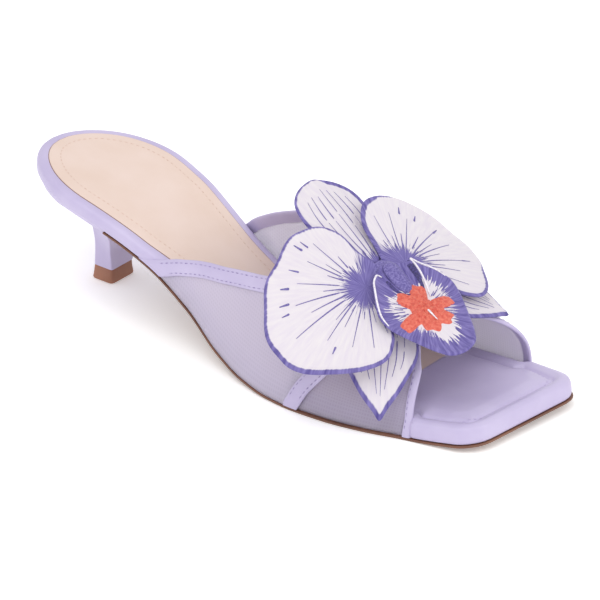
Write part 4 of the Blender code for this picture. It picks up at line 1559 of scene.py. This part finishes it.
class MULE_OT_stage(bpy.types.Operator):
    """Sets up the floor, the soft lights and the camera"""

    bl_idname = "mule.stage"
    bl_label = "Stage"

    FLOOR_SIZE = 6.0
    # Sizes and places of the lights in metres.
    KEY_SIZE, KEY_PLACE = 1.6, Vector((0.1, -0.85, 1.9))
    FILL_SIZE, FILL_PLACE = 1.2, Vector((1.3, 0.1, 1.25))
    # Where the view's axis passes the heel's middle, and how far the frame's middle lies from it.
    AIM = Vector((33.0, 0.0, 0.0))
    VIEW_RIGHT = 0.03356
    VIEW_DOWN = 0.00451
    CLIP = (0.05, 50.0)

    def execute(self, context):
        stage = context.scene.mule_stage
        self.white_table(context, stage)
        self.lights(context, stage)
        self.camera(context, stage)
        return {"FINISHED"}

    def white_table(self, context, stage):
        """A lit white table, which softens the shadow under the shoe."""
        bm = bmesh.new()
        bmesh.ops.create_grid(bm, x_segments=1, y_segments=1, size=self.FLOOR_SIZE)
        mesh = bpy.data.meshes.new("floor")
        bm.to_mesh(mesh)
        bm.free()
        floor = bpy.data.objects.new("floor", mesh)
        context.scene.collection.objects.link(floor)
        glow = {"Emission_Color": stage.floor, "Emission_Strength": stage.glow}
        mesh.materials.append(blank("lit_white_table", Base_Color=stage.floor, Roughness=0.9, **glow)[0])

    def lights(self, context, stage):
        """An even white sky, a large key light and a low fill light."""
        world = bpy.data.worlds.new("studio")
        world.use_nodes = True
        sky = world.node_tree.nodes["Background"].inputs
        sky["Color"].default_value = (1.0, 1.0, 1.0, 1.0)
        sky["Strength"].default_value = stage.sky
        context.scene.world = world
        context.scene.view_settings.view_transform = "Standard"
        for name, power, size, spot in (
            ("key", stage.key, self.KEY_SIZE, self.KEY_PLACE),
            ("fill", stage.fill, self.FILL_SIZE, self.FILL_PLACE),
        ):
            light = bpy.data.lights.new(name, "AREA")
            light.energy = power
            light.size = size
            lamp = bpy.data.objects.new(name, light)
            lamp.location = spot
            lamp.rotation_euler = (-spot).to_track_quat("-Z", "Y").to_euler()
            context.scene.collection.objects.link(lamp)

    def camera(self, context, stage):
        """A long lens at the photograph's angle to the shoe."""
        a, e = stage.azimuth, stage.elevation
        back = Vector((math.sin(a) * math.cos(e), -math.cos(a) * math.cos(e), math.sin(e)))
        level = Vector((math.cos(a), math.sin(a), 0.0))
        ahead = (-back + level * self.VIEW_RIGHT - back.cross(level) * self.VIEW_DOWN).normalized()
        right = (level - ahead * level.dot(ahead)).normalized()
        turn = Matrix((right, right.cross(ahead), -ahead)).transposed().to_4x4()
        camera = bpy.data.cameras.new("camera")
        camera.lens = stage.lens
        camera.clip_start, camera.clip_end = self.CLIP
        eye = bpy.data.objects.new("camera", camera)
        eye.matrix_world = Matrix.Translation(place(self.AIM) + back * stage.distance) @ turn
        context.scene.collection.objects.link(eye)
        context.scene.camera = eye


OPERATORS = (
    MULE_OT_sole, MULE_OT_footbed, MULE_OT_sock, MULE_OT_heel, MULE_OT_straps,
    MULE_OT_sepals, MULE_OT_petals, MULE_OT_lip, MULE_OT_stage,
)
GROUPS = {"mule_colours": MuleColours, "mule_sizes": MuleSizes, "mule_stage": MuleStage}


class MULE_PT_looks(bpy.types.Panel):
    """Lists the mule's pieces and what a user may change in them"""

    bl_idname = "MULE_PT_looks"
    bl_label = "Orchid mule"
    bl_space_type = "VIEW_3D"
    bl_region_type = "UI"
    bl_category = "Mule"

    def draw(self, context):
        for operator in OPERATORS:
            self.layout.operator(operator.bl_idname)
        for group in GROUPS:
            box = self.layout.box()
            values = getattr(context.scene, group)
            for name in values.bl_rna.properties.keys():
                if name not in ("rna_type", "name"):
                    box.prop(values, name)


CLASSES = (*GROUPS.values(), *OPERATORS, MULE_PT_looks)


def register():
    for made in CLASSES:
        bpy.utils.register_class(made)
    for name, group in GROUPS.items():
        setattr(bpy.types.Scene, name, PointerProperty(type=group))


def unregister():
    for name in GROUPS:
        delattr(bpy.types.Scene, name)
    for made in reversed(CLASSES):
        bpy.utils.unregister_class(made)


def main():
    register()
    for old in list(bpy.data.objects):
        if old.name in ("Cube", "Light", "Camera"):
            bpy.data.objects.remove(old)
    for operator in OPERATORS:
        group, name = operator.bl_idname.split(".")
        getattr(getattr(bpy.ops, group), name)()


if __name__ == "__main__":
    main()
